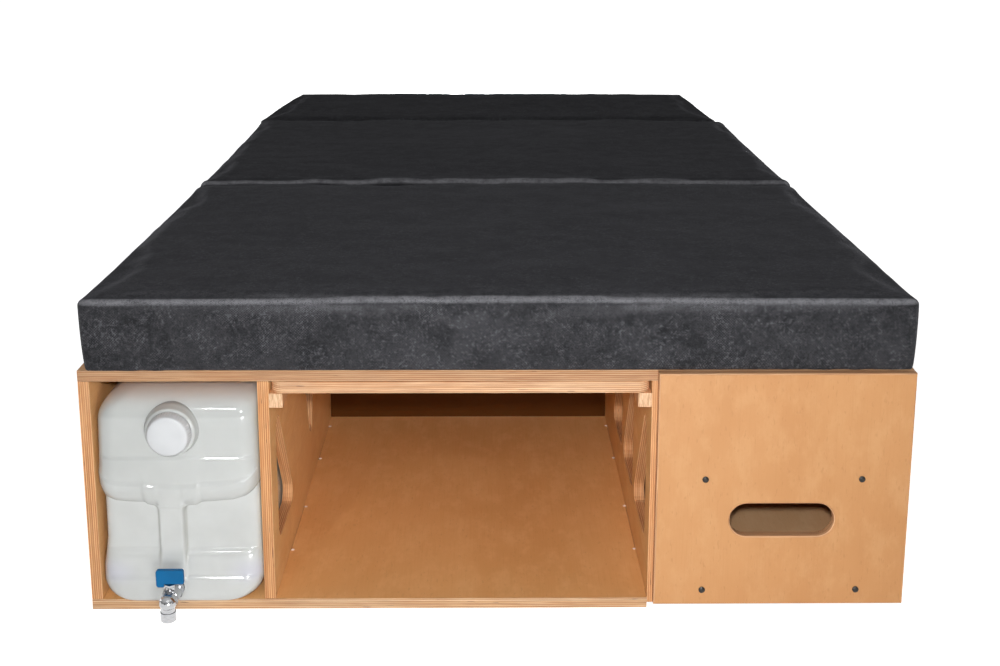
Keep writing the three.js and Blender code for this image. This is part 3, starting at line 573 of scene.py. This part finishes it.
def graded(half_length, radius, steps):
    """Places along one side, close together in its rounded ends."""
    inner = half_length - radius
    angles = [math.pi / 4 * i / CORNER_STEPS for i in range(1, CORNER_STEPS + 1)]
    ends = [inner + radius * math.tan(angle) for angle in angles]
    middle = [inner * (2 * i / steps - 1) for i in range(steps + 1)]
    return [-place for place in reversed(ends)] + middle + ends


def shell_of(places):
    """The surface of a block of lattice points, as lattice indices and four-sided faces."""
    counts = [len(row) - 1 for row in places]
    index, corners, faces = {}, [], []

    def corner(key):
        if key not in index:
            index[key] = len(corners)
            corners.append(key)
        return index[key]

    for axis in (X, Y, Z):
        u, v = [i for i in (X, Y, Z) if i != axis]
        for end in (0, counts[axis]):
            outward = (end > 0) == (axis != Y)
            for i in range(counts[u]):
                for j in range(counts[v]):
                    quad = []
                    for di, dj in ((0, 0), (1, 0), (1, 1), (0, 1)):
                        key = [0, 0, 0]
                        key[axis], key[u], key[v] = end, i + di, j + dj
                        quad.append(corner(tuple(key)))
                    faces.append(quad if outward else quad[::-1])
    return corners, faces


def mesh_piece(name, points, faces, level=0):
    """A smooth-shaded piece from points and faces, subdivided if a level is given."""
    mesh = bpy.data.meshes.new(name)
    mesh.from_pydata([tuple(point) for point in points], [], faces)
    piece = bpy.data.objects.new(name, mesh)
    bpy.context.collection.objects.link(piece)
    if level:
        rounding = piece.modifiers.new("rounding", "SUBSURF")
        rounding.levels = level
        graph = bpy.context.evaluated_depsgraph_get()
        piece.data = bpy.data.meshes.new_from_object(piece.evaluated_get(graph))
        piece.modifiers.clear()
    for polygon in piece.data.polygons:
        polygon.use_smooth = True
    return piece


def swell(points, faces, pinned, pressure, frames=20):
    """Where a cover's points go when a cloth simulation fills it. Pinned points stay."""
    piece = mesh_piece("cover_at_rest", points, faces)
    group = piece.vertex_groups.new(name="pinned")
    group.add([int(i) for i in np.flatnonzero(pinned)], 1.0, "REPLACE")
    cloth = piece.modifiers.new("cover", "CLOTH")
    cloth.settings.quality = 5
    cloth.settings.tension_stiffness = 30
    cloth.settings.compression_stiffness = 30
    cloth.settings.shear_stiffness = 12
    cloth.settings.bending_stiffness = 1.5
    cloth.settings.shrink_min = -0.012
    cloth.settings.use_pressure = True
    cloth.settings.uniform_pressure_force = pressure
    cloth.settings.vertex_group_mass = "pinned"
    cloth.settings.effector_weights.gravity = 0
    for frame in range(1, frames + 1):
        bpy.context.scene.frame_set(frame)
    graph = bpy.context.evaluated_depsgraph_get()
    result = piece.evaluated_get(graph).data
    filled = np.empty(len(result.vertices) * 3)
    result.vertices.foreach_get("co", filled)
    bpy.context.scene.frame_set(1)
    mesh = piece.data
    bpy.data.objects.remove(piece)
    bpy.data.meshes.remove(mesh)
    return filled.reshape(-1, 3)


class Cushion:
    """One cushion's form: a rounded block, then the pulls and bulges that its sides have."""

    def __init__(self, node, steps, front, top_radius):
        low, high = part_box(node)
        front = low.y if front is None else front
        self.centre = Vector(((low.x + high.x) / 2, (front + high.y) / 2, (CUSHION_TOP + low.z) / 2))
        self.half = np.array([CUSHION_HALF_WIDTH, (high.y - front) / 2, (CUSHION_TOP - low.z) / 2])
        places = [graded(self.half[i], top_radius, steps[i]) for i in (X, Y, Z)]
        corners, self.faces = shell_of(places)
        points = np.array([[places[i][key[i]] for i in (X, Y, Z)] for key in corners])
        rise = smooth(points[:, Z] / self.half[Z], -0.7, 0.5)
        radius = (FOOT_RADIUS + (top_radius - FOOT_RADIUS) * rise)[:, None]
        limit = self.half - radius
        core = np.clip(points, -limit, limit)
        away = points - core
        away /= np.linalg.norm(away, axis=1)[:, None]
        self.points = core + away * radius
        self.share = self.points / self.half

    def noise(self, scale, seed):
        shift = Vector((seed, seed, seed))
        return np.array([noise.noise(Vector(point) * scale + shift) for point in self.points])

    def fill(self, joined):
        """Swells the cover, by no more than a cap, and less on sides that lean on a neighbour."""
        filled = swell(self.points, self.faces, self.share[:, Z] < STITCHED, FILL_PRESSURE)
        move = filled - self.points
        length = np.linalg.norm(move, axis=1)
        move *= (np.minimum(length, FILL_CAP) / np.maximum(length, 1e-9))[:, None]
        v = self.share[:, Y]
        for end in joined:
            move *= (1 - 0.8 * smooth(v * end, 0.94, 1.0))[:, None]
        self.points += move


def shape_cushion(cushion, sides, seed, rears, lifts, notched, joined):
    """Drawn-in sides, a tucked foot, rounded ends at the seams and a filled cover's waviness."""
    u, v, w = cushion.share.T
    p = cushion.points
    rise = (1 + w) / 2
    back = (1 + v) / 2
    (left_front, left_rear), (right_front, right_rear) = sides
    left_in = left_front + (left_rear - left_front) * back
    right_in = right_front + (right_rear - right_front) * back
    ripple = cushion.noise(7, seed) * LONG_RIPPLE + cushion.noise(24, seed + 5) * SHORT_RIPPLE
    inward = (1 - u) / 2 * left_in - (1 + u) / 2 * right_in
    behind = back**2
    inward += behind * (np.clip((1 - u) / 2, 0, 1) ** 4 * rears[0] - ((1 + u) / 2) ** 4 * rears[1])
    for place in notched:
        inward -= np.sign(u) * np.abs(u) ** 8 * smooth(v * place, 0.93, 1.0) * NOTCH
    for place in joined:
        p[:, Z] += rise * smooth(v * place, 0.9, 1.0) * cushion.noise(11, seed + 9) * LIP_WAVE
    side = smooth(np.abs(u), 0.75, 1.0) * np.sign(u)
    end = smooth(np.abs(v), 0.75, 1.0) * np.sign(v)
    tuck = (1 - w) / 2 * np.where(u < 0, TUCK_LEFT, TUCK_RIGHT) - (1 - w**2) * SIDE_HOLLOW
    p[:, X] += inward + side * (ripple * 0.9 - tuck) - u * SIDE_PULL * (1 - v**2)
    p[:, Y] += end * ripple * 0.6
    p[:, Z] += rise * (ripple * 0.8 + CROWN * (1 - u**4) * (1 - v**4))
    front_lift, rear_lift = lifts
    p[:, Z] += rise * (front_lift * smooth(-v, 0.9, 1.0) + rear_lift * smooth(v, -0.6, 1.0))
    p[:, Y] += np.clip(rear_lift, 0, None) * 1.6 * smooth(v, 0.0, 1.0)


# Each row's sizes are in mm. Sides: how far the left and the right side lie inward, at the front
# and the rear. Rears: how far the rear corners are drawn in. Lifts: the top's rise at both ends.
# Shades: painted light: the cushion's light level, the share of the painted rim highlight, and the
# painted shade on faces that face the front.
CUSHIONS = (
    {
        "node": "cushion_front", "steps": (100, 68, 8), "front": CUSHION_FRONT, "radius": 9,
        "sides": ((7.5, 8.5), (0.5, 0.5)), "seed": 1.0, "rears": (0, 0), "lifts": (0, -2.5),
        "painted_shades": (0.98, 0.9, 0.22), "joined": (1,), "notched": (1,),
    },
    {
        "node": "cushion_middle", "steps": (100, 68, 8), "front": None, "radius": 16,
        "sides": ((9, -1), (0.5, -1)), "seed": 2.3, "rears": (0, 0), "lifts": (5, 0),
        "painted_shades": (0.8, 1.0, 0.8), "joined": (-1, 1), "notched": (1,),
    },
    {
        "node": "cushion_rear", "steps": (100, 36, 8), "front": None, "radius": 9,
        "sides": ((0, 0), (18, 24)), "seed": 3.7, "rears": (46, 22), "lifts": (0, 8),
        "painted_shades": (0.68, 0.1, 0.8), "joined": (-1,), "notched": (),
    },
)


def cushions():
    for number, row in enumerate(CUSHIONS, 1):
        node = row["node"]
        cushion = Cushion(node, row["steps"], row["front"], row["radius"] * MM)
        sides, rears, lifts = (np.array(row[name]) * MM for name in ("sides", "rears", "lifts"))
        shape_cushion(cushion, sides, row["seed"], rears, lifts, row["notched"], row["joined"])
        cushion.fill(row["joined"])
        points = cushion.points + np.array(cushion.centre)
        piece = mesh_piece(f"{node}_cover", points, cushion.faces, 1)
        dress(piece, node, velour(f"velour_{number}", row["seed"], *row["painted_shades"]))


cushions()


# Canister: blow-moulded, with a deep crease under its upper block, a rib and a swollen foot.
# All its sizes are in mm. Each row of its front has a height, then how far the front lies back
# there on the plain part and on the rib. Left and right: how far each side lies inward at a height.
CANISTER_FRONT = (
    (0, 7, 7), (0.8, 4.2, 4.2), (2, 2.6, 2.6), (5, 1.1, 1.1), (12, 0.3, 0.3), (25, 0.3, 0.3),
    (31, 0.6, 0.6), (33, 0.9, 0.7), (34, 1.3, 0.8), (37.4, 3.45, 1.0), (38.6, 3.9, 1.2), (42, 4.6, 1.5),
    (50, 5.4, 2.2), (60, 6.6, 3), (66, 8.1, 3.3), (67.2, 8.6, 3.4), (70.6, 10.4, 3.4), (72.4, 12, 3.4),
    (75, 13.8, 3.4), (81, 14.3, 3.4), (107, 14.4, 3.3),
    (137, 14.5, 3.1), (142, 15.2, 3), (143, 14.4, 3), (143.8, 10.6, 3), (146, 8.2, 2.9),
    (150, 5.2, 2.4), (156, 2.4, 1.7), (162, 0.7, 0.7), (169, 0.2, 0.2), (170.4, 0.5, 0.5),
    (171.2, 0.8, 0.8), (174.6, 2.6, 2.6), (175.6, 2.9, 2.9), (177, 3, 3), (200, 2.2, 2.2),
    (206, 2.1, 2.1), (207, 2.4, 2.4), (210.4, 4.2, 4.2), (211.4, 4.5, 4.5), (213, 4.5, 4.5),
    (237, 3.2, 3.2), (258, 2.4, 2.4), (266, 2.8, 2.8), (272, 4.2, 4.2), (278, 6.8, 6.8),
    (284, 10.4, 10.4), (289, 14.6, 14.6), (293, 19.6, 19.6), (296.5, 26, 26), (299, 33, 33),
    (301, 43, 43),
)
CANISTER_LEFT = ((0, 0), (34, 0.5), (48, 0.8), (70, 4.5), (89, 7), (137, 7.4), (142.5, 8), (144, 3),
                 (151, 0.6), (169, 0), (197, 1.6), (229, 2.6), (262, 3.4), (301, 4.5))
CANISTER_RIGHT = ((0, 0), (48, 0), (72, 1.6), (137, 1.8), (142.5, 2.4), (144, 1.2), (153, 0.4),
                  (250, 0.8), (301, 1.2))
# The crease's height at places from left to right
CREASE = ((-538.5, 180), (-535, 177), (-528, 169), (-515, 163.4), (-495, 161.6), (-475, 161),
          (-470, 157.6), (-460, 156.2), (-423, 155.6), (-406, 157), (-399, 160.8), (-376, 162.4),
          (-356, 164.2), (-338, 170), (-329, 177), (-319, 190))
CANISTER_SPAN = (-538.5, -318.8)
CANISTER_HEIGHT = 301
RIB = (-454.8, -424.2)
RIB_BLEND = 3.4
SWELLING = (-473.5, -402.5)
CORNER_RADIUS = 26
REAR_ROUND = 20
FOOT_ROUND = (31, 37)
HEAD_ROUND = (44, 19)
CREASE_LEVEL = 161.3
CREASE_FOLLOWED = ((89, 135), (153, 212))
SWELLING_RISE = 1.5
SWELLING_EDGES = (2.2, 5)
SWELLING_HEIGHTS = ((142.5, 144), (169, 189))
RIB_FLARE = 5.5
FLARE_START = (136, 144)
FLARE_TOP = 146
HEAD_START = (262, 290)
FRONT_STEPS, SIDE_STEPS, REAR_STEPS = 76, 14, 16
FRONT_CORNER_STEPS, REAR_CORNER_STEPS = 10, 6
SIDE_GAP = 6
FRONT_BAND = 20
# Painted shade lines: one along the foot block's upper edge, one on each side of the rib
EDGE_LINE, EDGE_LINE_WIDTH = 143.2, 1.3
RIB_LINE_GAP, RIB_LINE_WIDTH = 3, 1.8
RIB_LINE_LEFT, RIB_LINE_RIGHT = 0.5, 0.75
RIB_LINE_START = (50, 66)
RIB_LINE_TOP = 143
NECK_SHADE, NECK_SHADE_DEPTH = 0.35, 2.4
FACE_Y = -385
CANISTER_DEPTH = 250
NECK = (-432.25, 250)
BOSS = (-438.245, 23)
COLLAR_PROFILE = (
    (36.5, -14), (36.5, -3), (36.1, -1.2), (35.2, 0.6), (34.4, 3), (33.6, 7), (32.8, 8.6), (31, 9.2),
    (24, 9.3), (24, 20),
)
BOSS_PROFILE = ((17, -8), (17, -0.8), (16.2, 0))
CAP_PROFILE = (
    (26, 9.6), (29.6, 9.8), (30, 10.6), (30, 13), (29, 17.5), (27.6, 21.6), (26.4, 23.7), (24.8, 24.6),
    (18, 24.9),
)
CAP_RIDGES = 52
RIDGE_DEPTH = 0.4
RIDGED_ROWS = (2, 3, 4, 5)
NECK_STEPS = 96
CAP_STEPS = 312


def along(table, value, column=1):
    """A value read from a table of places, straight between its rows."""
    rows = np.array(table, dtype=float)
    return np.interp(value, rows[:, 0], rows[:, column])


def round_in(radius, rise):
    """How far a quarter round lies inward at a height above its foot."""
    below = radius - np.minimum(rise, radius)
    return radius - np.sqrt(np.maximum(radius**2 - below**2, 0))


def canister_rows():
    levels = [0, 0.7, 1.6, 3, 5, 291, 293.5, 295.5, 297.3, 298.8, 300, 300.7, 301]
    spans = (
        (7.5, 30, 2.5), (30, 40, 1), (40, 64, 2.6), (64, 76, 1.2), (76, 140, 2.6), (140, 147, 0.6),
        (147, 167, 2.2), (167, 176, 0.8), (176, 204, 2.6), (204, 213, 0.8), (213, 290, 2.2),
    )
    for low, high, step in spans:
        levels += list(np.arange(low, high - step / 2, step))
    return sorted(levels)


def end_round(foot, head, h):
    """How far a side lies inward at a height, where it turns into the foot or the head."""
    return max(round_in(foot, h), round_in(head, CANISTER_HEIGHT - h))


def between(value, rise, fall):
    """1 between a rise and a fall, which are each given as two places, and 0 outside them."""
    return smooth(value, *rise) * (1 - smooth(value, *fall))


def canister_ring(h, floor):
    """One level of the canister, as points in mm and how much painted groove shade each gets."""
    left = CANISTER_SPAN[0] + along(CANISTER_LEFT, h) + end_round(FOOT_ROUND[0], HEAD_ROUND[0], h)
    right = CANISTER_SPAN[1] - along(CANISTER_RIGHT, h) - end_round(FOOT_ROUND[1], HEAD_ROUND[1], h)
    rear = FACE_Y + CANISTER_DEPTH - end_round(REAR_ROUND, REAR_ROUND, h)
    follow = between(h, *CREASE_FOLLOWED)
    flare = RIB_FLARE * smooth(h, *FLARE_START) * (h < FLARE_TOP)

    def rib_share(x):
        return between(x, (RIB[0] - RIB_BLEND - flare, RIB[0]), (RIB[1], RIB[1] + RIB_BLEND + flare))

    def back(x):
        share = rib_share(x)
        plain, ribbed = along(CANISTER_FRONT, h), along(CANISTER_FRONT, h, 2)
        left_edge = (SWELLING[0] - SWELLING_EDGES[0], SWELLING[0])
        right_edge = (SWELLING[1], SWELLING[1] + SWELLING_EDGES[1])
        bump = between(x, left_edge, right_edge) * between(h, *SWELLING_HEIGHTS)
        return plain + (ribbed - plain) * share - SWELLING_RISE * bump * (1 - share * 0.6)

    corner = CORNER_RADIUS
    whole = smooth(h, *HEAD_START)
    front_x = np.linspace(left + corner, right - corner, FRONT_STEPS)
    ring = [(x, FACE_Y + back(x)) for x in front_x]

    def arc(centre_x, centre_y, start, steps, weight):
        for i in range(1, steps):
            angle = start + math.pi / 2 * i / steps
            turn = max(0.0, -math.sin(angle)) ** 1.5
            lag = weight * (turn + (1 - turn) * whole) * back(centre_x)
            ring.append((centre_x + corner * math.cos(angle), centre_y + corner * math.sin(angle) + lag))

    arc(right - corner, FACE_Y + corner, -math.pi / 2, FRONT_CORNER_STEPS, 1)
    side_start = FACE_Y + corner + SIDE_GAP + whole * along(CANISTER_FRONT, h)
    sides = np.linspace(side_start, rear - corner, SIDE_STEPS)
    ring += [(right, y) for y in sides]
    arc(right - corner, rear - corner, 0, REAR_CORNER_STEPS, 0)
    ring += [(x, rear) for x in np.linspace(right - corner, left + corner, REAR_STEPS)]
    arc(left + corner, rear - corner, math.pi / 2, REAR_CORNER_STEPS, 0)
    ring += [(left, y) for y in sides[::-1]]
    arc(left + corner, FACE_Y + corner, math.pi, FRONT_CORNER_STEPS, 1)
    points = []
    for x, y in ring:
        lift = (along(CREASE, x) - CREASE_LEVEL) * follow
        points.append((x, y, floor + h + lift))
    edge = np.exp(-((h - EDGE_LINE) / EDGE_LINE_WIDTH) ** 2)
    low = smooth(h, *RIB_LINE_START) * (h < RIB_LINE_TOP)
    groove_shades = []
    for x, y in ring:
        beside = RIB_LINE_LEFT * np.exp(-((x - RIB[0] + RIB_LINE_GAP) / RIB_LINE_WIDTH) ** 2)
        beside += RIB_LINE_RIGHT * np.exp(-((x - RIB[1] - RIB_LINE_GAP) / RIB_LINE_WIDTH) ** 2)
        groove_shades.append(max(edge * (1 - rib_share(x)), beside * low * (y < FACE_Y + FRONT_BAND)))
    return points, groove_shades


def lathe(profile, centre, steps, ridged=()):
    """Points and faces of a turned form whose axis runs towards the front."""
    points, faces = [], []
    for i in range(steps):
        angle = 2 * math.pi * i / steps
        for row, (radius, reach) in enumerate(profile):
            if row in ridged:
                radius -= RIDGE_DEPTH * (0.5 + 0.5 * math.cos(angle * CAP_RIDGES))
            x, z = radius * math.cos(angle), radius * math.sin(angle)
            points.append((centre[0] + x, centre[1] - reach, centre[2] + z))
    rows = len(profile)
    for i in range(steps):
        j = (i + 1) % steps
        for k in range(rows - 1):
            faces.append((i * rows + k, i * rows + k + 1, j * rows + k + 1, j * rows + k))
    faces.append([i * rows for i in range(steps)])
    faces.append([i * rows + rows - 1 for i in reversed(range(steps))])
    return points, faces


def canister():
    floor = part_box("canister")[0].z / MM
    rings = [canister_ring(h, floor) for h in canister_rows()]
    points = [point for ring, _ in rings for point in ring]
    marks = [mark for _, groove_shades in rings for mark in groove_shades]
    count = len(rings[0][0])
    faces = []
    for k in range(len(rings) - 1):
        for i in range(count):
            j = (i + 1) % count
            faces.append((k * count + i, k * count + j, (k + 1) * count + j, (k + 1) * count + i))
    faces.append([i for i in reversed(range(count))])
    faces.append([(len(rings) - 1) * count + i for i in range(count)])
    neck, boss = ((x, FACE_Y, floor + h) for x, h in (NECK, BOSS))
    for profile, centre in ((COLLAR_PROFILE, neck), (BOSS_PROFILE, boss)):
        turned, sides = lathe(profile, centre, NECK_STEPS)
        faces += [[i + len(points) for i in face] for face in sides]
        painted_shades = [smooth(-reach, 0.0, NECK_SHADE_DEPTH) * NECK_SHADE for _, reach in profile]
        marks += painted_shades * NECK_STEPS
        points += turned
    piece = mesh_piece("canister_shell", np.array(points) * MM, faces)
    attribute = piece.data.attributes.new("groove_shade", "FLOAT", "POINT")
    attribute.data.foreach_set("value", np.array(marks, dtype=np.float32))
    dress(piece, "canister", milky_plastic())

    turned, sides = lathe(CAP_PROFILE, neck, CAP_STEPS, RIDGED_ROWS)
    cap = mesh_piece("canister_cap_ridged", np.array(turned) * MM, sides)
    dress(cap, "canister_cap", WHITE_CAP)


MILKY = srgb(195, 197, 195)
MILKY_DULL = srgb(187, 189, 187)
FOOT_END_SHADE = srgb(190, 190, 202)
GROOVE_SHADE = srgb(148, 148, 138)
UPPER_SHADE = srgb(174, 177, 175)
CROWN_SHADE = srgb(188, 176, 170)


def milky_plastic():
    """Natural polyethylene, milky and a little uneven, with painted shade in its grooves, at its foot's
    ends, towards the top and on the top rounding.
    """
    s = Surface("canister_plastic")
    place = s.place()
    slow = s.noise(place, 16, detail=3)
    fine = s.noise(place, 900, detail=2)
    ripple = s.noise(s.stretched(place, (10, 10, 34)), detail=2)
    groove_shade = s.nodes.new("ShaderNodeAttribute")
    groove_shade.attribute_name = "groove_shade"
    x, y, z = s.split(place)
    # Painted shade on the foot's swell towards both ends.
    foot = s.calc("MULTIPLY", s.remap(z, 0.035, 0.06), s.remap(z, 0.085, 0.055))
    ends = s.remap(s.calc("ABSOLUTE", s.calc("ADD", x, 0.4286)), 0.05, 0.095)
    colour = s.mix(s.remap(slow, 0.35, 0.7), MILKY, MILKY_DULL)
    colour = s.mix(s.calc("MULTIPLY", foot, s.calc("MULTIPLY", ends, 0.7)), colour, FOOT_END_SHADE)
    # Painted shade in the creases, beside the rib and round the neck's foot.
    colour = s.mix(s.calc("MULTIPLY", groove_shade.outputs["Fac"], 0.7), colour, GROOVE_SHADE)
    # Painted shade: darker towards the top, and pinkish on the top rounding.
    colour = s.mix(s.remap(z, 0.12, 0.26, 0, 0.6), colour, UPPER_SHADE)
    crown = s.remap(z, 0.292, 0.318)
    colour = s.mix(s.calc("MULTIPLY", crown, 0.65), colour, CROWN_SHADE)
    s.level("Subsurface Weight", 0.15)
    s.level("Subsurface Radius", (0.008, 0.008, 0.007))
    s.level("Subsurface Scale", 1.0)
    s.level("Coat Weight", 0.9)
    s.level("Coat Roughness", 0.07)
    s.level("Specular IOR Level", 0.25)
    height = s.calc("ADD", s.calc("MULTIPLY", fine, 0.04), ripple)
    rough = s.remap(slow, 0.3, 0.7, 0.4, 0.48)
    return s.set(Base_Color=colour, Roughness=rough, Normal=s.bump(height, 0.4 * MM, 0.3))


canister()


# Carried-over CAD nodes that keep their shape
for node, material in (
    ("tap_gasket", RUBBER),
    ("tap_backnut", WHITE_CAP),
    ("tap_body", CHROME),
    ("tap_gland_nut", CHROME),
    ("tap_ball", CHROME),
    ("tap_nozzle", CHROME),
    ("tap_lever", BLUE),
):
    nodes[node].data.materials.clear()
    nodes[node].data.materials.append(material)
for node in nodes:
    if node.startswith("slide_"):
        nodes[node].data.materials.clear()
        nodes[node].data.materials.append(ZINC)
    if "screw" in node:
        nodes[node].data.materials.clear()
        nodes[node].data.materials.append(BLACK)


# Floor and world. The camera and mirrors see them white; their light on the part stays plain.
FLOOR_REACH = 14.0
FLOOR_GAP = 0.2 * MM
FLOOR_GLOW = (("From Min", 0.8), ("From Max", 1.8), ("To Min", 0.82), ("To Max", 1.0))


def floor():
    mesh = bpy.data.meshes.new("floor")
    turns = ((-1, -1), (1, -1), (1, 1), (-1, 1))
    corners = [(x * FLOOR_REACH, y * FLOOR_REACH, 0) for x, y in turns]
    mesh.from_pydata(corners, [], [(0, 1, 2, 3)])
    piece = bpy.data.objects.new("floor", mesh)
    bpy.context.collection.objects.link(piece)
    piece.location.z = -FLOOR_GAP
    material = bpy.data.materials.new("floor_white")
    material.use_nodes = True
    tree = material.node_tree
    tree.nodes.clear()
    output = tree.nodes.new("ShaderNodeOutputMaterial")
    diffuse = tree.nodes.new("ShaderNodeBsdfDiffuse")
    diffuse.inputs["Color"].default_value = (0.8, 0.8, 0.8, 1)
    glow = tree.nodes.new("ShaderNodeEmission")
    glow.inputs["Color"].default_value = (1, 1, 1, 1)
    path = tree.nodes.new("ShaderNodeLightPath")
    seen = tree.nodes.new("ShaderNodeMath")
    seen.operation = "MAXIMUM"
    tree.links.new(path.outputs["Is Camera Ray"], seen.inputs[0])
    tree.links.new(path.outputs["Is Glossy Ray"], seen.inputs[1])
    place = tree.nodes.new("ShaderNodeTexCoord")
    reach_node = tree.nodes.new("ShaderNodeVectorMath")
    reach_node.operation = "LENGTH"
    tree.links.new(place.outputs["Object"], reach_node.inputs[0])
    level = tree.nodes.new("ShaderNodeMapRange")
    for name, value in FLOOR_GLOW:
        level.inputs[name].default_value = value
    tree.links.new(reach_node.outputs["Value"], level.inputs["Value"])
    scaled = tree.nodes.new("ShaderNodeMath")
    scaled.operation = "MULTIPLY"
    tree.links.new(level.outputs[0], scaled.inputs[1])
    tree.links.new(seen.outputs[0], scaled.inputs[0])
    tree.links.new(scaled.outputs[0], glow.inputs["Strength"])
    both = tree.nodes.new("ShaderNodeAddShader")
    tree.links.new(diffuse.outputs[0], both.inputs[0])
    tree.links.new(glow.outputs[0], both.inputs[1])
    tree.links.new(both.outputs[0], output.inputs["Surface"])
    piece.data.materials.append(material)


def world():
    """White for the camera, dim for plain light, and for mirrors dark near the horizon."""
    space = bpy.data.worlds.new("studio")
    bpy.context.scene.world = space
    space.use_nodes = True
    tree = space.node_tree
    tree.nodes.clear()
    output = tree.nodes.new("ShaderNodeOutputWorld")
    background = tree.nodes.new("ShaderNodeBackground")
    background.inputs["Color"].default_value = (1, 1, 1, 1)
    tree.links.new(background.outputs[0], output.inputs["Surface"])
    path = tree.nodes.new("ShaderNodeLightPath")
    split = tree.nodes.new("ShaderNodeSeparateXYZ")
    tree.links.new(tree.nodes.new("ShaderNodeTexCoord").outputs["Generated"], split.inputs[0])

    def level(source, low, high, to_low, to_high):
        node = tree.nodes.new("ShaderNodeMapRange")
        tree.links.new(source, node.inputs["Value"])
        limits = {"From Min": low, "From Max": high, "To Min": to_low, "To Max": to_high}
        for name, value in limits.items():
            if isinstance(value, bpy.types.NodeSocket):
                tree.links.new(value, node.inputs[name])
            else:
                node.inputs[name].default_value = value
        return node.outputs[0]

    mirrored = level(split.outputs["Z"], 0.1, 0.6, 0.22, 0.8)
    plain = level(path.outputs["Is Glossy Ray"], 0, 1, 0.115, mirrored)
    shown = level(path.outputs["Is Camera Ray"], 0, 1, plain, 1.0)
    tree.links.new(shown, background.inputs["Strength"])


# Each lamp's name, place, target, side length in metres and power in watts
LAMPS = (
    ("key", (-0.02, -2.1, 1.03), (0, 0.1, 0.25), 0.06, 24.5),
    ("fill_left", (-0.77, -2.3, 1.5), (-0.2, 0.0, 0.2), 0.17, 5),
    ("fill_right", (2.6, -1.6, 2.4), (0, 0.2, 0.3), 1.6, 2),
    ("low_fill", (0.1, -1.6, 0.08), (0.1, 0, 0.08), 0.4, 8),
    ("side_left", (-3.6, 0.8, 0.2), (0, 0.6, 0.2), 0.34, 70),
    ("side_right", (3.6, 0.8, 0.2), (0, 0.6, 0.2), 0.34, 70),
    ("behind", (0, 5.0, 0.2), (0, 1.2, 0.2), 0.34, 80),
)


def lamp(name, position, target, size, power):
    data = bpy.data.lights.new(name, "AREA")
    data.shape = "SQUARE"
    data.size = size
    data.energy = power
    piece = bpy.data.objects.new(name, data)
    bpy.context.collection.objects.link(piece)
    piece.location = position
    piece.visible_camera = False
    piece.rotation_euler = (Vector(target) - Vector(position)).to_track_quat("-Z", "Y").to_euler()


# The camera's place in metres, its tilt, yaw and roll in degrees, and its lens in mm
CAMERA_PLACE = (-0.0132, -2.0749, 0.9457)
CAMERA_ANGLES = (12.282, 0.574, 0.096)
LENS = 48.63
SENSOR = 36
UPWARD_SHIFT = -0.133
NEAREST = 0.05


def camera():
    """The photograph's viewpoint, fitted to the box's corners and the mattress's sides."""
    tilt, yaw, roll = (math.radians(angle) for angle in CAMERA_ANGLES)
    ahead = Vector((math.sin(yaw) * math.cos(tilt), math.cos(yaw) * math.cos(tilt), -math.sin(tilt)))
    level = Vector((math.cos(yaw), -math.sin(yaw), 0))
    upright = level.cross(ahead)
    right = level * math.cos(roll) + upright * math.sin(roll)
    up = upright * math.cos(roll) - level * math.sin(roll)
    data = bpy.data.cameras.new("camera")
    data.sensor_width = SENSOR
    data.lens = LENS
    data.shift_y = UPWARD_SHIFT
    data.clip_start = NEAREST
    piece = bpy.data.objects.new("camera", data)
    bpy.context.collection.objects.link(piece)
    turn = Matrix((right, up, -ahead)).transposed().to_4x4()
    piece.matrix_world = Matrix.Translation(CAMERA_PLACE) @ turn
    bpy.context.scene.camera = piece


floor()
world()
for row in LAMPS:
    lamp(*row)
camera()
bpy.context.scene.view_settings.view_transform = "Standard"
